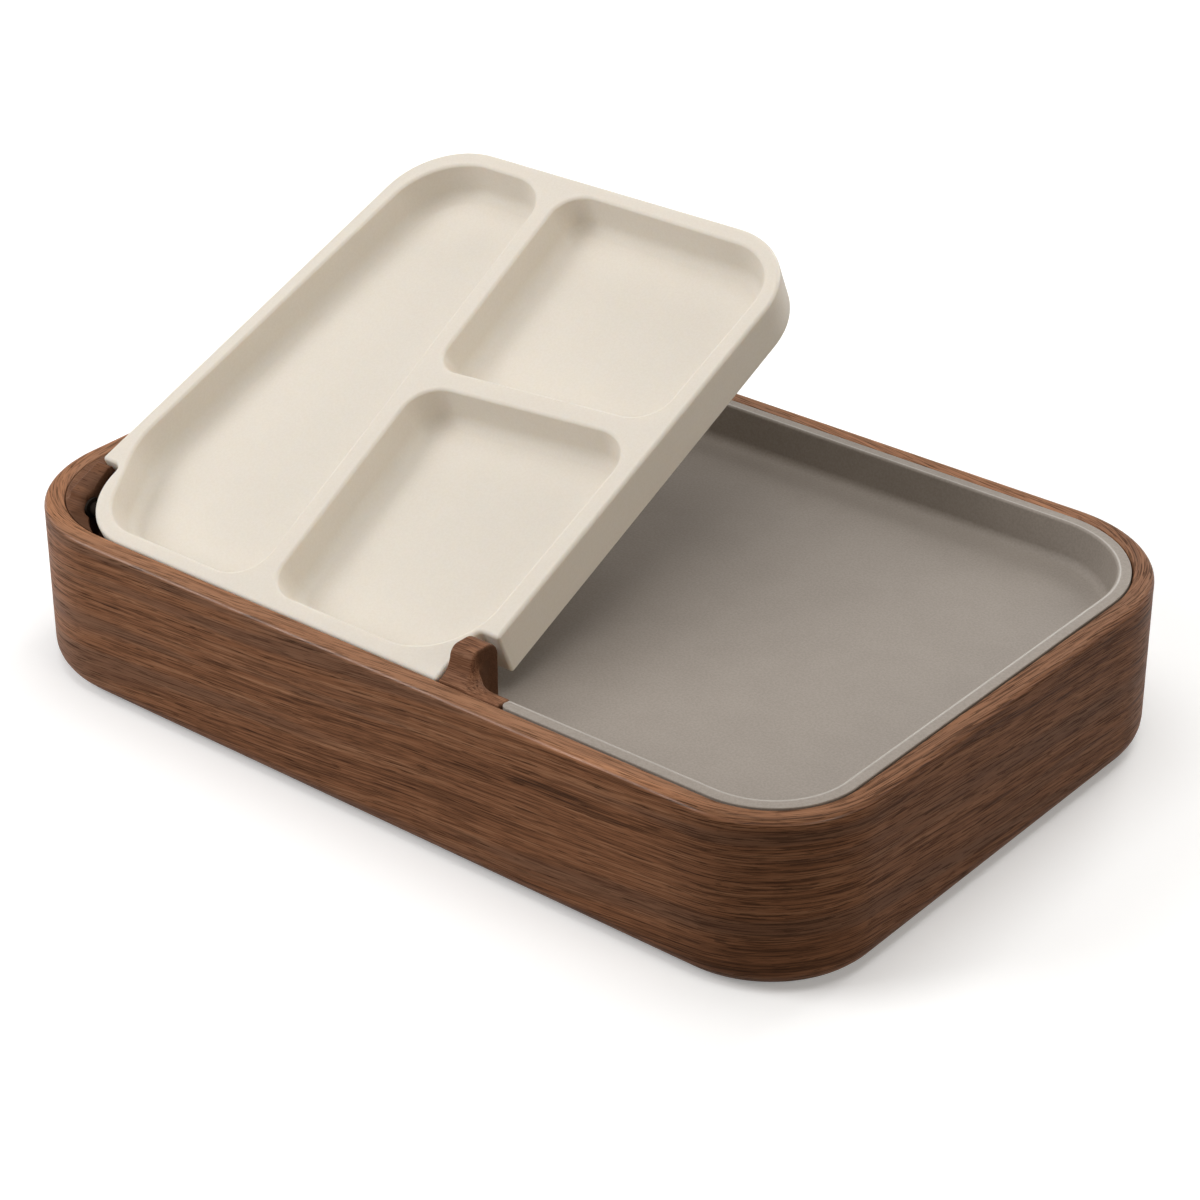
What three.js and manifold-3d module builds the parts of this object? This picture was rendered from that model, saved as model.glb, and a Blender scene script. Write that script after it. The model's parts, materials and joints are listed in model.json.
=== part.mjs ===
// Divided serving tray: a walnut base with a grey inlay, and a cream three-compartment tray
// that swings up on two wooden lugs at the front left of the base.
// Millimetres, +Z up. The origin is the centre of the base on the table, the front faces -Y.
import * as THREE from 'three';
import { mergeVertices } from 'three/addons/utils/BufferGeometryUtils.js';
import Module from 'manifold-3d';

const wasm = await Module();
wasm.setup();

// Driving dimensions of the base
const LENGTH = 400;
const WIDTH = 268;
const RIM_Z = 70;
const CORNER_R = 58;
const NEAR_CORNER_R = 45;
const RIM_WIDTH = 8.2;
const TOP_EDGE_R = 3.2;
const INNER_EDGE_R = 1;
const BOTTOM_EDGE_R = 9;
const BAND_BOTTOM_Z = 0.8;
const FIT_GAP = 0.3;

// Deck that carries the inlay and the lugs, and the cleat that takes the bottom panel
const DECK_TOP_Z = 50.7;
const DECK_THICK = 6;
const LOWER_WALL = 16;
const CLEAT_INSET = 24;
const CLEAT_TOP_Z = 18;
const RABBET_INSET = 14;
const PANEL_TOP_Z = 8.5;
const PANEL_BOTTOM_Z = 2.5;

// Grey inlay
const INLAY_GAP = 0.4;
const LIP_PROUD = 0.4;
const LIP_WIDTH = 5.4;
const LIP_THICK = 2.6;
const LIP_OUTER_R = 0.8;
const LIP_INNER_R = 1.5;
const INLAY_FLOOR_Z = 54.5;
const INLAY_WALL = 2.6;
const INLAY_FLOOR_R = 4;
const INLAY_DRAFT = Math.tan(THREE.MathUtils.degToRad(9));
const LIP_NOSE_X = 62.6;
const LIP_END_Y = -83;
const SLOT_RIGHT_X = 33.8;
const SLOT_BACK_Y = -100;
const LUG_CLEARANCE = 0.9;
const SLOT_INSET = 18;

// Hinge line, and the tray's tilt as it stands propped open
const PIVOT_Y = -110.7;
const PIVOT_Z = 69.7;
const TILT = THREE.MathUtils.degToRad(23.65);
const PIVOT_FROM_FRONT = 13.5;
const PIVOT_BELOW_TOP = 6.3;

// Divided tray
const TRAY_THICK = 20.5;
const TRAY_EDGE_R = 1.6;
const TRAY_FOOT_R = 2;
const NOTCH_WALL_RIGHT = 32.4;
const NOTCH_WALL_LEFT = -160.6;
const NOTCH_BACK_RIGHT = 25.5;
const NOTCH_BACK_LEFT = 32.5;
const NOTCH_INNER_R = 3;
const NOTCH_OUTER_R = 1.3;
const NOTCH_STEPS = 4;
const TRAY_CORNER_R = 28;
const POCKET_DEPTH = 15.5;
const POCKET_FLOOR_R = 6;
const POCKET_RIM_R = 1.6;
const POCKET_DRAFT_DEG = 11;
const POCKET_DRAFT = Math.tan(THREE.MathUtils.degToRad(POCKET_DRAFT_DEG));
const MOULD_WALL = 3.2;
const MOULD_WEB = 6;
const SKIRT_DRAFT = 0.8;
const HINGE_BOSS_RIGHT = 16;
const HINGE_BOSS_LEFT = 24;

// Lugs
const LUG_TOP_Z = 82;
const LUG_RIGHT_X = [34, 45];
const LUG_LEFT_X = [-172, -162.2];
const LUG_RIGHT_Y = [-120, -105.2];
const LUG_LEFT_Y = [-113, -95.5];
const LUG_EDGE_R = 1;
const LUG_BACK_ROUND = 6.5;
const LUG_FRONT_ROUND = 4;
const LUG_FLARE = 5;
const FLARE_R = 7;
const FLARE_DEPTH = 5;
const LEDGE_WIDTH = 6.4;
const LEDGE_LEFT_WIDTH = 5.4;
const LEDGE_LEFT_END = -146;
const LEDGE_GAP = 0.6;
const TRAY_SWING = 4;

// Hinge hardware
const PIN_R = 1.6;
const BUSH_R = 2.8;
const WASHER_R = 4.2;
const WASHER_THICK = 1;
const PIN_COVER = 2;
const BUSH_DEPTH_RIGHT = 8;
const BUSH_DEPTH_LEFT = 8.6;
const BORE_OVERRUN = 5;

// Screws and feet
const SCREW_R = 1.5;
const SCREW_HEAD_R = 2.75;
const SCREW_HEAD_H = 2;
const SCREW_HEAD_EDGE = 0.4;
const SCREW_TIP_H = 3;
const SCREW_TIP_R = 0.3;
const SCREW_LENGTH = 16;
const PANEL_SCREW_LENGTH = 13;
const LUG_SCREWS_RIGHT = { x: 39.5, front: -113.6, back: -106.8 };
const LUG_SCREWS_LEFT = { x: -166.5, front: -106.5, back: -100.5 };
const FOOT_R = 9;
const FOOT_EDGE_R = 1;
const FOOT_RECESS = 1;
const FOOT_INSET = 40;

const CORNER_STEPS = 9;
const FILLET_STEPS = 3;
const SCREW_SIDES = 10;
const HINGE_SIDES = 20;
const FOOT_SIDES = 28;
const LUG_CURVE_STEPS = 6;
const LUG_BEVEL_STEPS = 2;
const SHARPEST_R = 0.05;

const WALNUT = { color: 0x6f4a35, roughness: 0.55, metalness: 0 };
const CREAM = { color: 0xe4ded0, roughness: 0.7, metalness: 0 };
const TAUPE = { color: 0x9a928a, roughness: 0.75, metalness: 0 };
const STEEL = { color: 0xb9bcc0, roughness: 0.3, metalness: 1 };
const DARK_NYLON = { color: 0x2b2622, roughness: 0.6, metalness: 0 };
const SILICONE = { color: 0x3a3836, roughness: 0.85, metalness: 0 };

const part = new THREE.Group();
const trayGroup = new THREE.Group();
trayGroup.position.set(0, PIVOT_Y, PIVOT_Z);
trayGroup.rotation.x = TILT;
part.add(trayGroup);

// Outline of a polygon with rounded corners, moved inwards by inset. Corners run anticlockwise,
// each with x, y, its radius r and the number of steps on its arc.
function roundedOutline(corners, inset = 0) {
  const count = corners.length;
  const edges = corners.map((corner, i) => {
    const next = corners[(i + 1) % count];
    const along = new THREE.Vector2(next.x - corner.x, next.y - corner.y).normalize();
    const inward = new THREE.Vector2(-along.y, along.x);
    const start = new THREE.Vector2(corner.x, corner.y).addScaledVector(inward, inset);
    return { along, start };
  });
  const points = [];
  corners.forEach((corner, i) => {
    const before = edges[(i + count - 1) % count];
    const after = edges[i];
    const turn = before.along.cross(after.along);
    const between = after.start.clone().sub(before.start);
    const vertex = before.start.clone().addScaledVector(before.along, between.cross(after.along) / turn);
    const side = Math.sign(turn);
    const radius = Math.max(corner.r - side * inset, SHARPEST_R);
    const half = Math.atan2(Math.abs(turn), 1 + before.along.dot(after.along));
    const reach = radius * Math.tan(half);
    const first = vertex.clone().addScaledVector(before.along, -reach);
    const centre = new THREE.Vector2(-before.along.y, before.along.x)
      .multiplyScalar(side * radius)
      .add(first);
    const steps = corner.steps ?? CORNER_STEPS;
    for (let k = 0; k <= steps; k += 1) {
      points.push(first.clone().rotateAround(centre, side * 2 * half * k / steps));
    }
  });
  return points;
}

// Points of a quarter round in a profile, from one angle to another in degrees
function arcProfile(inset, z, r, from, to) {
  const points = [];
  for (let k = 0; k <= FILLET_STEPS; k += 1) {
    const angle = THREE.MathUtils.degToRad(from + (to - from) * k / FILLET_STEPS);
    points.push([inset + r * Math.cos(angle), z + r * Math.sin(angle)]);
  }
  return points;
}

// Surface through rings made from one outline at each [inset, z] of a profile. A closed profile makes
// a frame; an open one is capped flat at both ends.
function loft(corners, profile, closed = false) {
  const rings = profile.map(([inset, z]) => roundedOutline(corners, inset).map((p) => [p.x, p.y, z]));
  const size = rings[0].length;
  const positions = rings.flat(2);
  const index = [];
  const last = closed ? rings.length : rings.length - 1;
  for (let i = 0; i < last; i += 1) {
    const low = i * size;
    const high = ((i + 1) % rings.length) * size;
    for (let j = 0; j < size; j += 1) {
      const k = (j + 1) % size;
      index.push(low + j, low + k, high + k, low + j, high + k, high + j);
    }
  }
  if (!closed) {
    const flat = (ring) => ring.map(([x, y]) => new THREE.Vector2(x, y));
    const top = (rings.length - 1) * size;
    THREE.ShapeUtils.triangulateShape(flat(rings[0]), []).forEach(([a, b, c]) => index.push(c, b, a));
    THREE.ShapeUtils.triangulateShape(flat(rings[rings.length - 1]), [])
      .forEach(([a, b, c]) => index.push(top + a, top + b, top + c));
  }
  const geometry = new THREE.BufferGeometry();
  geometry.setAttribute('position', new THREE.Float32BufferAttribute(positions, 3));
  geometry.setIndex(index);
  return geometry;
}

function solid(geometry) {
  const bare = geometry.clone();
  bare.deleteAttribute('normal');
  bare.deleteAttribute('uv');
  const merged = mergeVertices(bare, 1e-4);
  return new wasm.Manifold(new wasm.Mesh({
    numProp: 3,
    vertProperties: new Float32Array(merged.attributes.position.array),
    triVerts: new Uint32Array(merged.index.array),
  }));
}

function toGeometry(body) {
  const mesh = body.getMesh();
  const geometry = new THREE.BufferGeometry();
  geometry.setAttribute('position', new THREE.BufferAttribute(mesh.vertProperties, 3));
  geometry.setIndex(new THREE.BufferAttribute(mesh.triVerts, 1));
  return geometry;
}

function addPiece(name, geometry, look, parent = part) {
  geometry.computeVertexNormals();
  const mesh = new THREE.Mesh(geometry, new THREE.MeshStandardMaterial(look));
  mesh.name = name;
  parent.add(mesh);
  return mesh;
}

function box([x0, x1], [y0, y1], [z0, z1]) {
  const geometry = new THREE.BoxGeometry(x1 - x0, y1 - y0, z1 - z0);
  return geometry.translate((x0 + x1) / 2, (y0 + y1) / 2, (z0 + z1) / 2);
}

// Round bar along Z from z0 to z1
function upright(radius, x, y, z0, z1, sides) {
  const geometry = new THREE.CylinderGeometry(radius, radius, z1 - z0, sides);
  return geometry.rotateX(Math.PI / 2).translate(x, y, (z0 + z1) / 2);
}

// Round bar along the hinge line from x0 to x1
function onHinge(radius, x0, x1, y = PIVOT_Y, z = PIVOT_Z) {
  const geometry = new THREE.CylinderGeometry(radius, radius, Math.abs(x1 - x0), HINGE_SIDES);
  return geometry.rotateZ(Math.PI / 2).translate((x0 + x1) / 2, y, z);
}

// Base: a rounded band, a deck on its inner shoulder and a panel let into its underside
const baseCorners = [
  { x: LENGTH / 2, y: -WIDTH / 2, r: NEAR_CORNER_R },
  { x: LENGTH / 2, y: WIDTH / 2, r: CORNER_R },
  { x: -LENGTH / 2, y: WIDTH / 2, r: CORNER_R },
  { x: -LENGTH / 2, y: -WIDTH / 2, r: CORNER_R },
];
const SHOULDER_Z = DECK_TOP_Z - DECK_THICK - FIT_GAP;

const bandProfile = [
  ...arcProfile(BOTTOM_EDGE_R, BAND_BOTTOM_Z + BOTTOM_EDGE_R, BOTTOM_EDGE_R, 270, 180),
  ...arcProfile(TOP_EDGE_R, RIM_Z - TOP_EDGE_R, TOP_EDGE_R, 180, 90),
  ...arcProfile(RIM_WIDTH - INNER_EDGE_R, RIM_Z - INNER_EDGE_R, INNER_EDGE_R, 90, 0),
  [RIM_WIDTH, SHOULDER_Z],
  [LOWER_WALL, SHOULDER_Z],
  [LOWER_WALL, CLEAT_TOP_Z],
  [CLEAT_INSET, CLEAT_TOP_Z],
  [CLEAT_INSET, PANEL_TOP_Z + FIT_GAP],
  [RABBET_INSET, PANEL_TOP_Z + FIT_GAP],
  [RABBET_INSET, BAND_BOTTOM_Z],
];

const panelScrewSpots = [-1, 0, 1].flatMap((side) => [-1, 1].map((front) => {
  const inset = (RABBET_INSET + CLEAT_INSET) / 2;
  const cornerShift = side === 0 ? 0 : CORNER_R;
  return [side * (LENGTH / 2 - inset - cornerShift), front * (WIDTH / 2 - inset)];
}));
const footSpots = [-1, 1].flatMap((side) => [-1, 1].map((front) => [
  side * (LENGTH / 2 - FOOT_INSET), front * (WIDTH / 2 - FOOT_INSET)]));

// Countersunk wood screw pointing up, its head flush at z
function screw(x, y, z, length) {
  const profile = [
    [0, 0],
    [SCREW_HEAD_R, 0],
    [SCREW_HEAD_R, SCREW_HEAD_EDGE],
    [SCREW_R, SCREW_HEAD_H],
    [SCREW_R, length - SCREW_TIP_H],
    [SCREW_TIP_R, length],
    [0, length],
  ].map(([r, h]) => new THREE.Vector2(r, h));
  return new THREE.LatheGeometry(profile, SCREW_SIDES).rotateX(Math.PI / 2).translate(x, y, z);
}

// Matching countersunk hole, a fit gap wider than the screw and open below
function screwHole(x, y, z, length) {
  const profile = [
    [0, -1],
    [SCREW_HEAD_R + FIT_GAP, -1],
    [SCREW_HEAD_R + FIT_GAP, SCREW_HEAD_EDGE + FIT_GAP],
    [SCREW_R + FIT_GAP, SCREW_HEAD_H + FIT_GAP],
    [SCREW_R + FIT_GAP, length + FIT_GAP],
    [0, length + FIT_GAP],
  ].map(([r, h]) => new THREE.Vector2(r, h));
  const hole = new THREE.LatheGeometry(profile, SCREW_SIDES).rotateX(Math.PI / 2);
  return solid(hole.translate(x, y, z));
}

let band = solid(loft(baseCorners, bandProfile, true));
let panel = solid(loft(baseCorners, [
  [RABBET_INSET + FIT_GAP, PANEL_BOTTOM_Z],
  [RABBET_INSET + FIT_GAP, PANEL_TOP_Z],
]));
panelScrewSpots.forEach(([x, y]) => {
  const hole = screwHole(x, y, PANEL_BOTTOM_Z, PANEL_SCREW_LENGTH);
  band = band.subtract(hole);
  panel = panel.subtract(hole);
});
footSpots.forEach(([x, y]) => {
  const recessTop = PANEL_BOTTOM_Z + FOOT_RECESS;
  const recess = upright(FOOT_R + FIT_GAP, x, y, BAND_BOTTOM_Z, recessTop, FOOT_SIDES);
  panel = panel.subtract(solid(recess));
});

const screwPair = ({ x, front, back }) => [[x, front], [x, back]];
const lugScrewSpots = {
  right: screwPair(LUG_SCREWS_RIGHT),
  left: screwPair(LUG_SCREWS_LEFT),
};
const LUG_SCREW_Z = DECK_TOP_Z - DECK_THICK;
let deck = solid(loft(baseCorners, [
  [RIM_WIDTH + FIT_GAP, LUG_SCREW_Z],
  [RIM_WIDTH + FIT_GAP, DECK_TOP_Z],
]));
Object.values(lugScrewSpots).flat().forEach(([x, y]) => {
  deck = deck.subtract(screwHole(x, y, LUG_SCREW_Z, SCREW_LENGTH));
});

addPiece('base_band', toGeometry(band), WALNUT);
addPiece('base_deck', toGeometry(deck), WALNUT);
addPiece('bottom_panel', toGeometry(panel), WALNUT);
panelScrewSpots.forEach(([x, y], i) => {
  addPiece(`panel_screw_${i + 1}`, screw(x, y, PANEL_BOTTOM_Z, PANEL_SCREW_LENGTH), STEEL);
});

// Soft foot: a pad with a rounded lower edge, let into the panel
footSpots.forEach(([x, y], i) => {
  const top = PANEL_BOTTOM_Z + FOOT_RECESS - FIT_GAP;
  const midArc = FOOT_EDGE_R * (1 - Math.SQRT1_2);
  const profile = [
    [0, 0],
    [FOOT_R - FOOT_EDGE_R, 0],
    [FOOT_R - midArc, midArc],
    [FOOT_R, FOOT_EDGE_R],
    [FOOT_R, top],
    [0, top],
  ].map(([r, h]) => new THREE.Vector2(r, h));
  const pad = new THREE.LatheGeometry(profile, FOOT_SIDES).rotateX(Math.PI / 2).translate(x, y, 0);
  addPiece(`foot_pad_${i + 1}`, pad, SILICONE);
});

// Grey inlay: a shallow pan with a rolled lip, cut away where the hinge stands
const lipTop = RIM_Z + LIP_PROUD;
const lipOuter = RIM_WIDTH + INLAY_GAP;
const lipInner = lipOuter + LIP_WIDTH;
const wallFoot = lipInner + (lipTop - INLAY_FLOOR_Z) * INLAY_DRAFT;
const inlayBottom = DECK_TOP_Z + FIT_GAP;
const inlayProfile = [
  [wallFoot - INLAY_WALL, inlayBottom],
  [lipInner - INLAY_WALL, lipTop - LIP_THICK],
  [lipOuter, lipTop - LIP_THICK],
  ...arcProfile(lipOuter + LIP_OUTER_R, lipTop - LIP_OUTER_R, LIP_OUTER_R, 180, 90),
  ...arcProfile(lipInner - LIP_INNER_R, lipTop - LIP_INNER_R, LIP_INNER_R, 90, 5),
  ...arcProfile(wallFoot + INLAY_FLOOR_R, INLAY_FLOOR_Z + INLAY_FLOOR_R, INLAY_FLOOR_R, 185, 270),
];
const fullHeight = [0, 2 * RIM_Z];
const hingeSlot = [
  [SLOT_RIGHT_X, SLOT_BACK_Y],
  [LUG_RIGHT_X[1] + LUG_CLEARANCE, LUG_RIGHT_Y[1] + LUG_CLEARANCE],
  [LUG_LEFT_X[1] + LUG_CLEARANCE, LUG_LEFT_Y[1] + LUG_CLEARANCE],
].map(([rightX, backY]) => solid(box([-LENGTH, rightX], [-WIDTH, backY], fullHeight)));

// The lip is left off beside the hinge, and ends there in a round nose
const noseR = LIP_WIDTH / 2;
const noseX = LIP_NOSE_X + noseR;
const noseY = -WIDTH / 2 + (lipOuter + lipInner) / 2;
const lipNose = solid(upright(noseR, noseX, noseY, ...fullHeight, FOOT_SIDES));
const lipRing = solid(loft(baseCorners, [
  [0, 0],
  [0, 2 * RIM_Z],
  [SLOT_INSET, 2 * RIM_Z],
  [SLOT_INSET, 0],
], true));
const lipFree = lipRing
  .intersect(solid(box([-LENGTH, noseX], [-WIDTH, LIP_END_Y], fullHeight)))
  .subtract(lipNose);
const inlay = hingeSlot.reduce(
  (rest, cut) => rest.subtract(cut),
  solid(loft(baseCorners, inlayProfile)).subtract(lipFree),
);
addPiece('inlay', toGeometry(inlay), TAUPE);

// Lugs: each a narrow wooden post on a ledge that follows the inside of the rim
function sideProfile([frontY, backY], flare) {
  const shape = new THREE.Shape();
  const low = DECK_TOP_Z + FIT_GAP;
  shape.moveTo(frontY - flare, low);
  shape.lineTo(backY, low);
  shape.lineTo(backY, LUG_TOP_Z - LUG_BACK_ROUND);
  shape.quadraticCurveTo(backY, LUG_TOP_Z, backY - LUG_BACK_ROUND, LUG_TOP_Z);
  shape.lineTo(frontY + LUG_FRONT_ROUND, LUG_TOP_Z);
  shape.quadraticCurveTo(frontY, LUG_TOP_Z, frontY, LUG_TOP_Z - LUG_FRONT_ROUND);
  shape.lineTo(frontY, RIM_Z + flare);
  shape.quadraticCurveTo(frontY, RIM_Z, frontY - flare, RIM_Z);
  shape.closePath();
  return shape;
}

function lugPost([x0, x1], depthRange, flare) {
  const geometry = new THREE.ExtrudeGeometry(sideProfile(depthRange, flare), {
    depth: x1 - x0 - 2 * LUG_EDGE_R,
    bevelEnabled: true,
    bevelThickness: LUG_EDGE_R,
    bevelSize: LUG_EDGE_R,
    bevelOffset: -LUG_EDGE_R,
    bevelSegments: LUG_BEVEL_STEPS,
    curveSegments: LUG_CURVE_STEPS,
  });
  const [alongX, alongY, alongZ] = [0, 1, 2].map((axis) => new THREE.Vector3().setComponent(axis, 1));
  geometry.applyMatrix4(new THREE.Matrix4().makeBasis(alongY, alongZ, alongX));
  return solid(geometry.translate(x0 + LUG_EDGE_R, 0, 0));
}

const ledgeFront = -WIDTH / 2 + RIM_WIDTH + FIT_GAP;
const ledgeBack = ledgeFront + LEDGE_WIDTH;
const LUG_FOOT_Z = DECK_TOP_Z + FIT_GAP;

// Straight ledge with the hollow flare that runs up into the right post
function rightLedge() {
  const [farSide, postSide] = LUG_RIGHT_X;
  const ledgeEnd = LIP_NOSE_X - LEDGE_GAP;
  const shape = new THREE.Shape();
  shape.moveTo(farSide, LUG_FOOT_Z);
  shape.lineTo(ledgeEnd, LUG_FOOT_Z);
  shape.lineTo(ledgeEnd, RIM_Z);
  shape.lineTo(postSide + FLARE_R, RIM_Z);
  shape.quadraticCurveTo(postSide, RIM_Z, postSide - LUG_EDGE_R, RIM_Z + FLARE_R);
  shape.lineTo(farSide + LUG_EDGE_R, RIM_Z + FLARE_R);
  shape.lineTo(farSide, RIM_Z);
  shape.closePath();
  const flared = new THREE.ExtrudeGeometry(shape, {
    depth: LEDGE_WIDTH,
    bevelEnabled: false,
    curveSegments: LUG_CURVE_STEPS,
  });
  flared.rotateX(Math.PI / 2).translate(0, ledgeBack, 0);
  const clear = box([0, LENGTH], [-WIDTH, ledgeFront + FLARE_DEPTH], [RIM_Z, 2 * RIM_Z]);
  return solid(flared).subtract(solid(clear));
}

// Ledge that bends round the front left corner of the rim
function leftLedge() {
  const ring = loft(baseCorners, [
    [RIM_WIDTH + FIT_GAP, LUG_FOOT_Z],
    [RIM_WIDTH + FIT_GAP, RIM_Z],
    [RIM_WIDTH + FIT_GAP + LEDGE_LEFT_WIDTH, RIM_Z],
    [RIM_WIDTH + FIT_GAP + LEDGE_LEFT_WIDTH, LUG_FOOT_Z],
  ], true);
  const reach = box([-LENGTH, LEDGE_LEFT_END], [-WIDTH, LIP_END_Y - LEDGE_GAP], fullHeight);
  const cornerX = NOTCH_WALL_LEFT + TRAY_CORNER_R;
  const cornerY = PIVOT_Y - PIVOT_FROM_FRONT + TRAY_CORNER_R;
  const trayRoom = upright(TRAY_CORNER_R + TRAY_SWING, cornerX, cornerY, ...fullHeight, 2 * FOOT_SIDES);
  return solid(ring).intersect(solid(reach)).subtract(solid(trayRoom));
}

// Blind bores for the pins, open towards the tray
const boreR = PIN_R + FIT_GAP;
const boreRight = solid(onHinge(boreR, LUG_RIGHT_X[0] - BORE_OVERRUN, LUG_RIGHT_X[1] - PIN_COVER));
const boreLeft = solid(onHinge(boreR, LUG_LEFT_X[0] + PIN_COVER, LUG_LEFT_X[1] + BORE_OVERRUN));
const insideRim = solid(loft(baseCorners, fullHeight.map((z) => [RIM_WIDTH + FIT_GAP, z])));

let lugRight = lugPost(LUG_RIGHT_X, LUG_RIGHT_Y, LUG_FLARE)
  .add(rightLedge())
  .subtract(boreRight);
let lugLeft = lugPost(LUG_LEFT_X, LUG_LEFT_Y, LUG_FLARE)
  .intersect(insideRim)
  .add(leftLedge())
  .subtract(boreLeft);
lugScrewSpots.right.forEach(([x, y]) => {
  lugRight = lugRight.subtract(screwHole(x, y, LUG_SCREW_Z, SCREW_LENGTH));
});
lugScrewSpots.left.forEach(([x, y]) => {
  lugLeft = lugLeft.subtract(screwHole(x, y, LUG_SCREW_Z, SCREW_LENGTH));
});
addPiece('hinge_lug_right', toGeometry(lugRight), WALNUT);
addPiece('hinge_lug_left', toGeometry(lugLeft), WALNUT);
Object.entries(lugScrewSpots).forEach(([side, spots]) => spots.forEach(([x, y], i) => {
  addPiece(`lug_screw_${side}_${i + 1}`, screw(x, y, LUG_SCREW_Z, SCREW_LENGTH), STEEL);
}));

// Divided tray, in its own group about the hinge line. Its plan is measured from its front edge,
// and local y and z start at the pivot.
const toLocal = (geometry) => geometry.translate(0, -PIVOT_FROM_FRONT, PIVOT_BELOW_TOP);
const trayCorners = [
  { x: NOTCH_WALL_RIGHT, y: 0, r: NOTCH_OUTER_R, steps: NOTCH_STEPS },
  { x: NOTCH_WALL_RIGHT, y: NOTCH_BACK_RIGHT, r: NOTCH_INNER_R, steps: NOTCH_STEPS },
  { x: 42.1, y: NOTCH_BACK_RIGHT, r: NOTCH_OUTER_R, steps: NOTCH_STEPS },
  { x: 37.7, y: 239, r: 36 },
  { x: -157.4, y: 236.5, r: 34 },
  { x: -170.8, y: NOTCH_BACK_LEFT, r: NOTCH_OUTER_R, steps: NOTCH_STEPS },
  { x: NOTCH_WALL_LEFT, y: NOTCH_BACK_LEFT, r: NOTCH_INNER_R, steps: NOTCH_STEPS },
  { x: NOTCH_WALL_LEFT, y: 0, r: TRAY_CORNER_R },
];
const pockets = {
  long: [
    { x: -146.5, y: 6.5, r: 22 },
    { x: -67.5, y: 6.5, r: 15 },
    { x: -89, y: 230, r: 17 },
    { x: -150.5, y: 230, r: 30 },
    { x: -163.2, y: 46, r: 36 },
  ],
  frontRight: [
    { x: -59, y: 7.5, r: 14 },
    { x: 33.2, y: 7.5, r: 30 },
    { x: 32, y: 127.6, r: 16 },
    { x: -69.8, y: 118, r: 12 },
  ],
  backRight: [
    { x: -71, y: 127, r: 11 },
    { x: 31.5, y: 136.5, r: 15 },
    { x: 31, y: 231, r: 26 },
    { x: -81, y: 231, r: 10 },
  ],
};

// Hollow of one compartment: rounded rim, drafted wall, round foot and a flat floor
function pocketSolid(corners) {
  const draft = THREE.MathUtils.degToRad(POCKET_DRAFT_DEG);
  const footInset = (POCKET_DEPTH - POCKET_FLOOR_R) * POCKET_DRAFT + POCKET_FLOOR_R / Math.cos(draft);
  const rimInset = -POCKET_RIM_R * (1 - Math.sin(draft)) / Math.cos(draft);
  const profile = [
    ...arcProfile(footInset, POCKET_FLOOR_R - POCKET_DEPTH, POCKET_FLOOR_R, 270, 180 + POCKET_DRAFT_DEG),
    ...arcProfile(rimInset, -POCKET_RIM_R, POCKET_RIM_R, POCKET_DRAFT_DEG, 90),
    [rimInset, 1],
  ];
  return solid(toLocal(loft(corners, profile)));
}

// Outside of one compartment's bowl as seen from below, one mould wall larger than its hollow
function bowlSolid(corners) {
  const floorInset = POCKET_DEPTH * POCKET_DRAFT;
  const profile = [
    [floorInset + MOULD_WALL, -POCKET_DEPTH - MOULD_WALL],
    [floorInset - MOULD_WALL / 2, -POCKET_DEPTH],
    [-MOULD_WALL, 0],
  ];
  return solid(toLocal(loft(corners, profile)));
}

// Space under the tray between its skirt and the bowls, with solid corners left round the hinge bores
function underside() {
  let space = solid(toLocal(loft(trayCorners, [
    [MOULD_WALL, -TRAY_THICK - 1],
    [MOULD_WALL, -TRAY_THICK],
    [MOULD_WALL + SKIRT_DRAFT, -MOULD_WEB],
  ])));
  Object.values(pockets).forEach((corners) => {
    space = space.subtract(bowlSolid(corners));
  });
  const bosses = [
    [NOTCH_WALL_RIGHT - HINGE_BOSS_RIGHT, NOTCH_WALL_RIGHT],
    [NOTCH_WALL_LEFT, NOTCH_WALL_LEFT + HINGE_BOSS_LEFT],
  ];
  bosses.forEach((reach) => {
    const boss = box(reach, [-MOULD_WALL, 2 * PIVOT_FROM_FRONT], [-2 * TRAY_THICK, 0]);
    space = space.subtract(solid(toLocal(boss)));
  });
  return space;
}

const trayProfile = [
  ...arcProfile(TRAY_FOOT_R, TRAY_FOOT_R - TRAY_THICK, TRAY_FOOT_R, 270, 180),
  ...arcProfile(TRAY_EDGE_R, -TRAY_EDGE_R, TRAY_EDGE_R, 180, 90),
];
let tray = solid(toLocal(loft(trayCorners, trayProfile))).subtract(underside());
Object.values(pockets).forEach((corners) => {
  tray = tray.subtract(pocketSolid(corners));
});
const bushSpans = {
  right: [NOTCH_WALL_RIGHT - BUSH_DEPTH_RIGHT, NOTCH_WALL_RIGHT],
  left: [NOTCH_WALL_LEFT, NOTCH_WALL_LEFT + BUSH_DEPTH_LEFT],
};
Object.entries(bushSpans).forEach(([side, [x0, x1]]) => {
  const [inner, outer] = side === 'right'
    ? [x0 - FIT_GAP, x1 + BORE_OVERRUN]
    : [x0 - BORE_OVERRUN, x1 + FIT_GAP];
  tray = tray.subtract(solid(onHinge(BUSH_R + FIT_GAP, inner, outer, 0, 0)));
});
addPiece('divided_tray', toGeometry(tray), CREAM, trayGroup);

// Tube along the hinge line
function tube(innerR, outerR, x0, x1) {
  const bore = solid(onHinge(innerR, x0 - BORE_OVERRUN, x1 + BORE_OVERRUN, 0, 0));
  return toGeometry(solid(onHinge(outerR, x0, x1, 0, 0)).subtract(bore));
}

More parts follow.
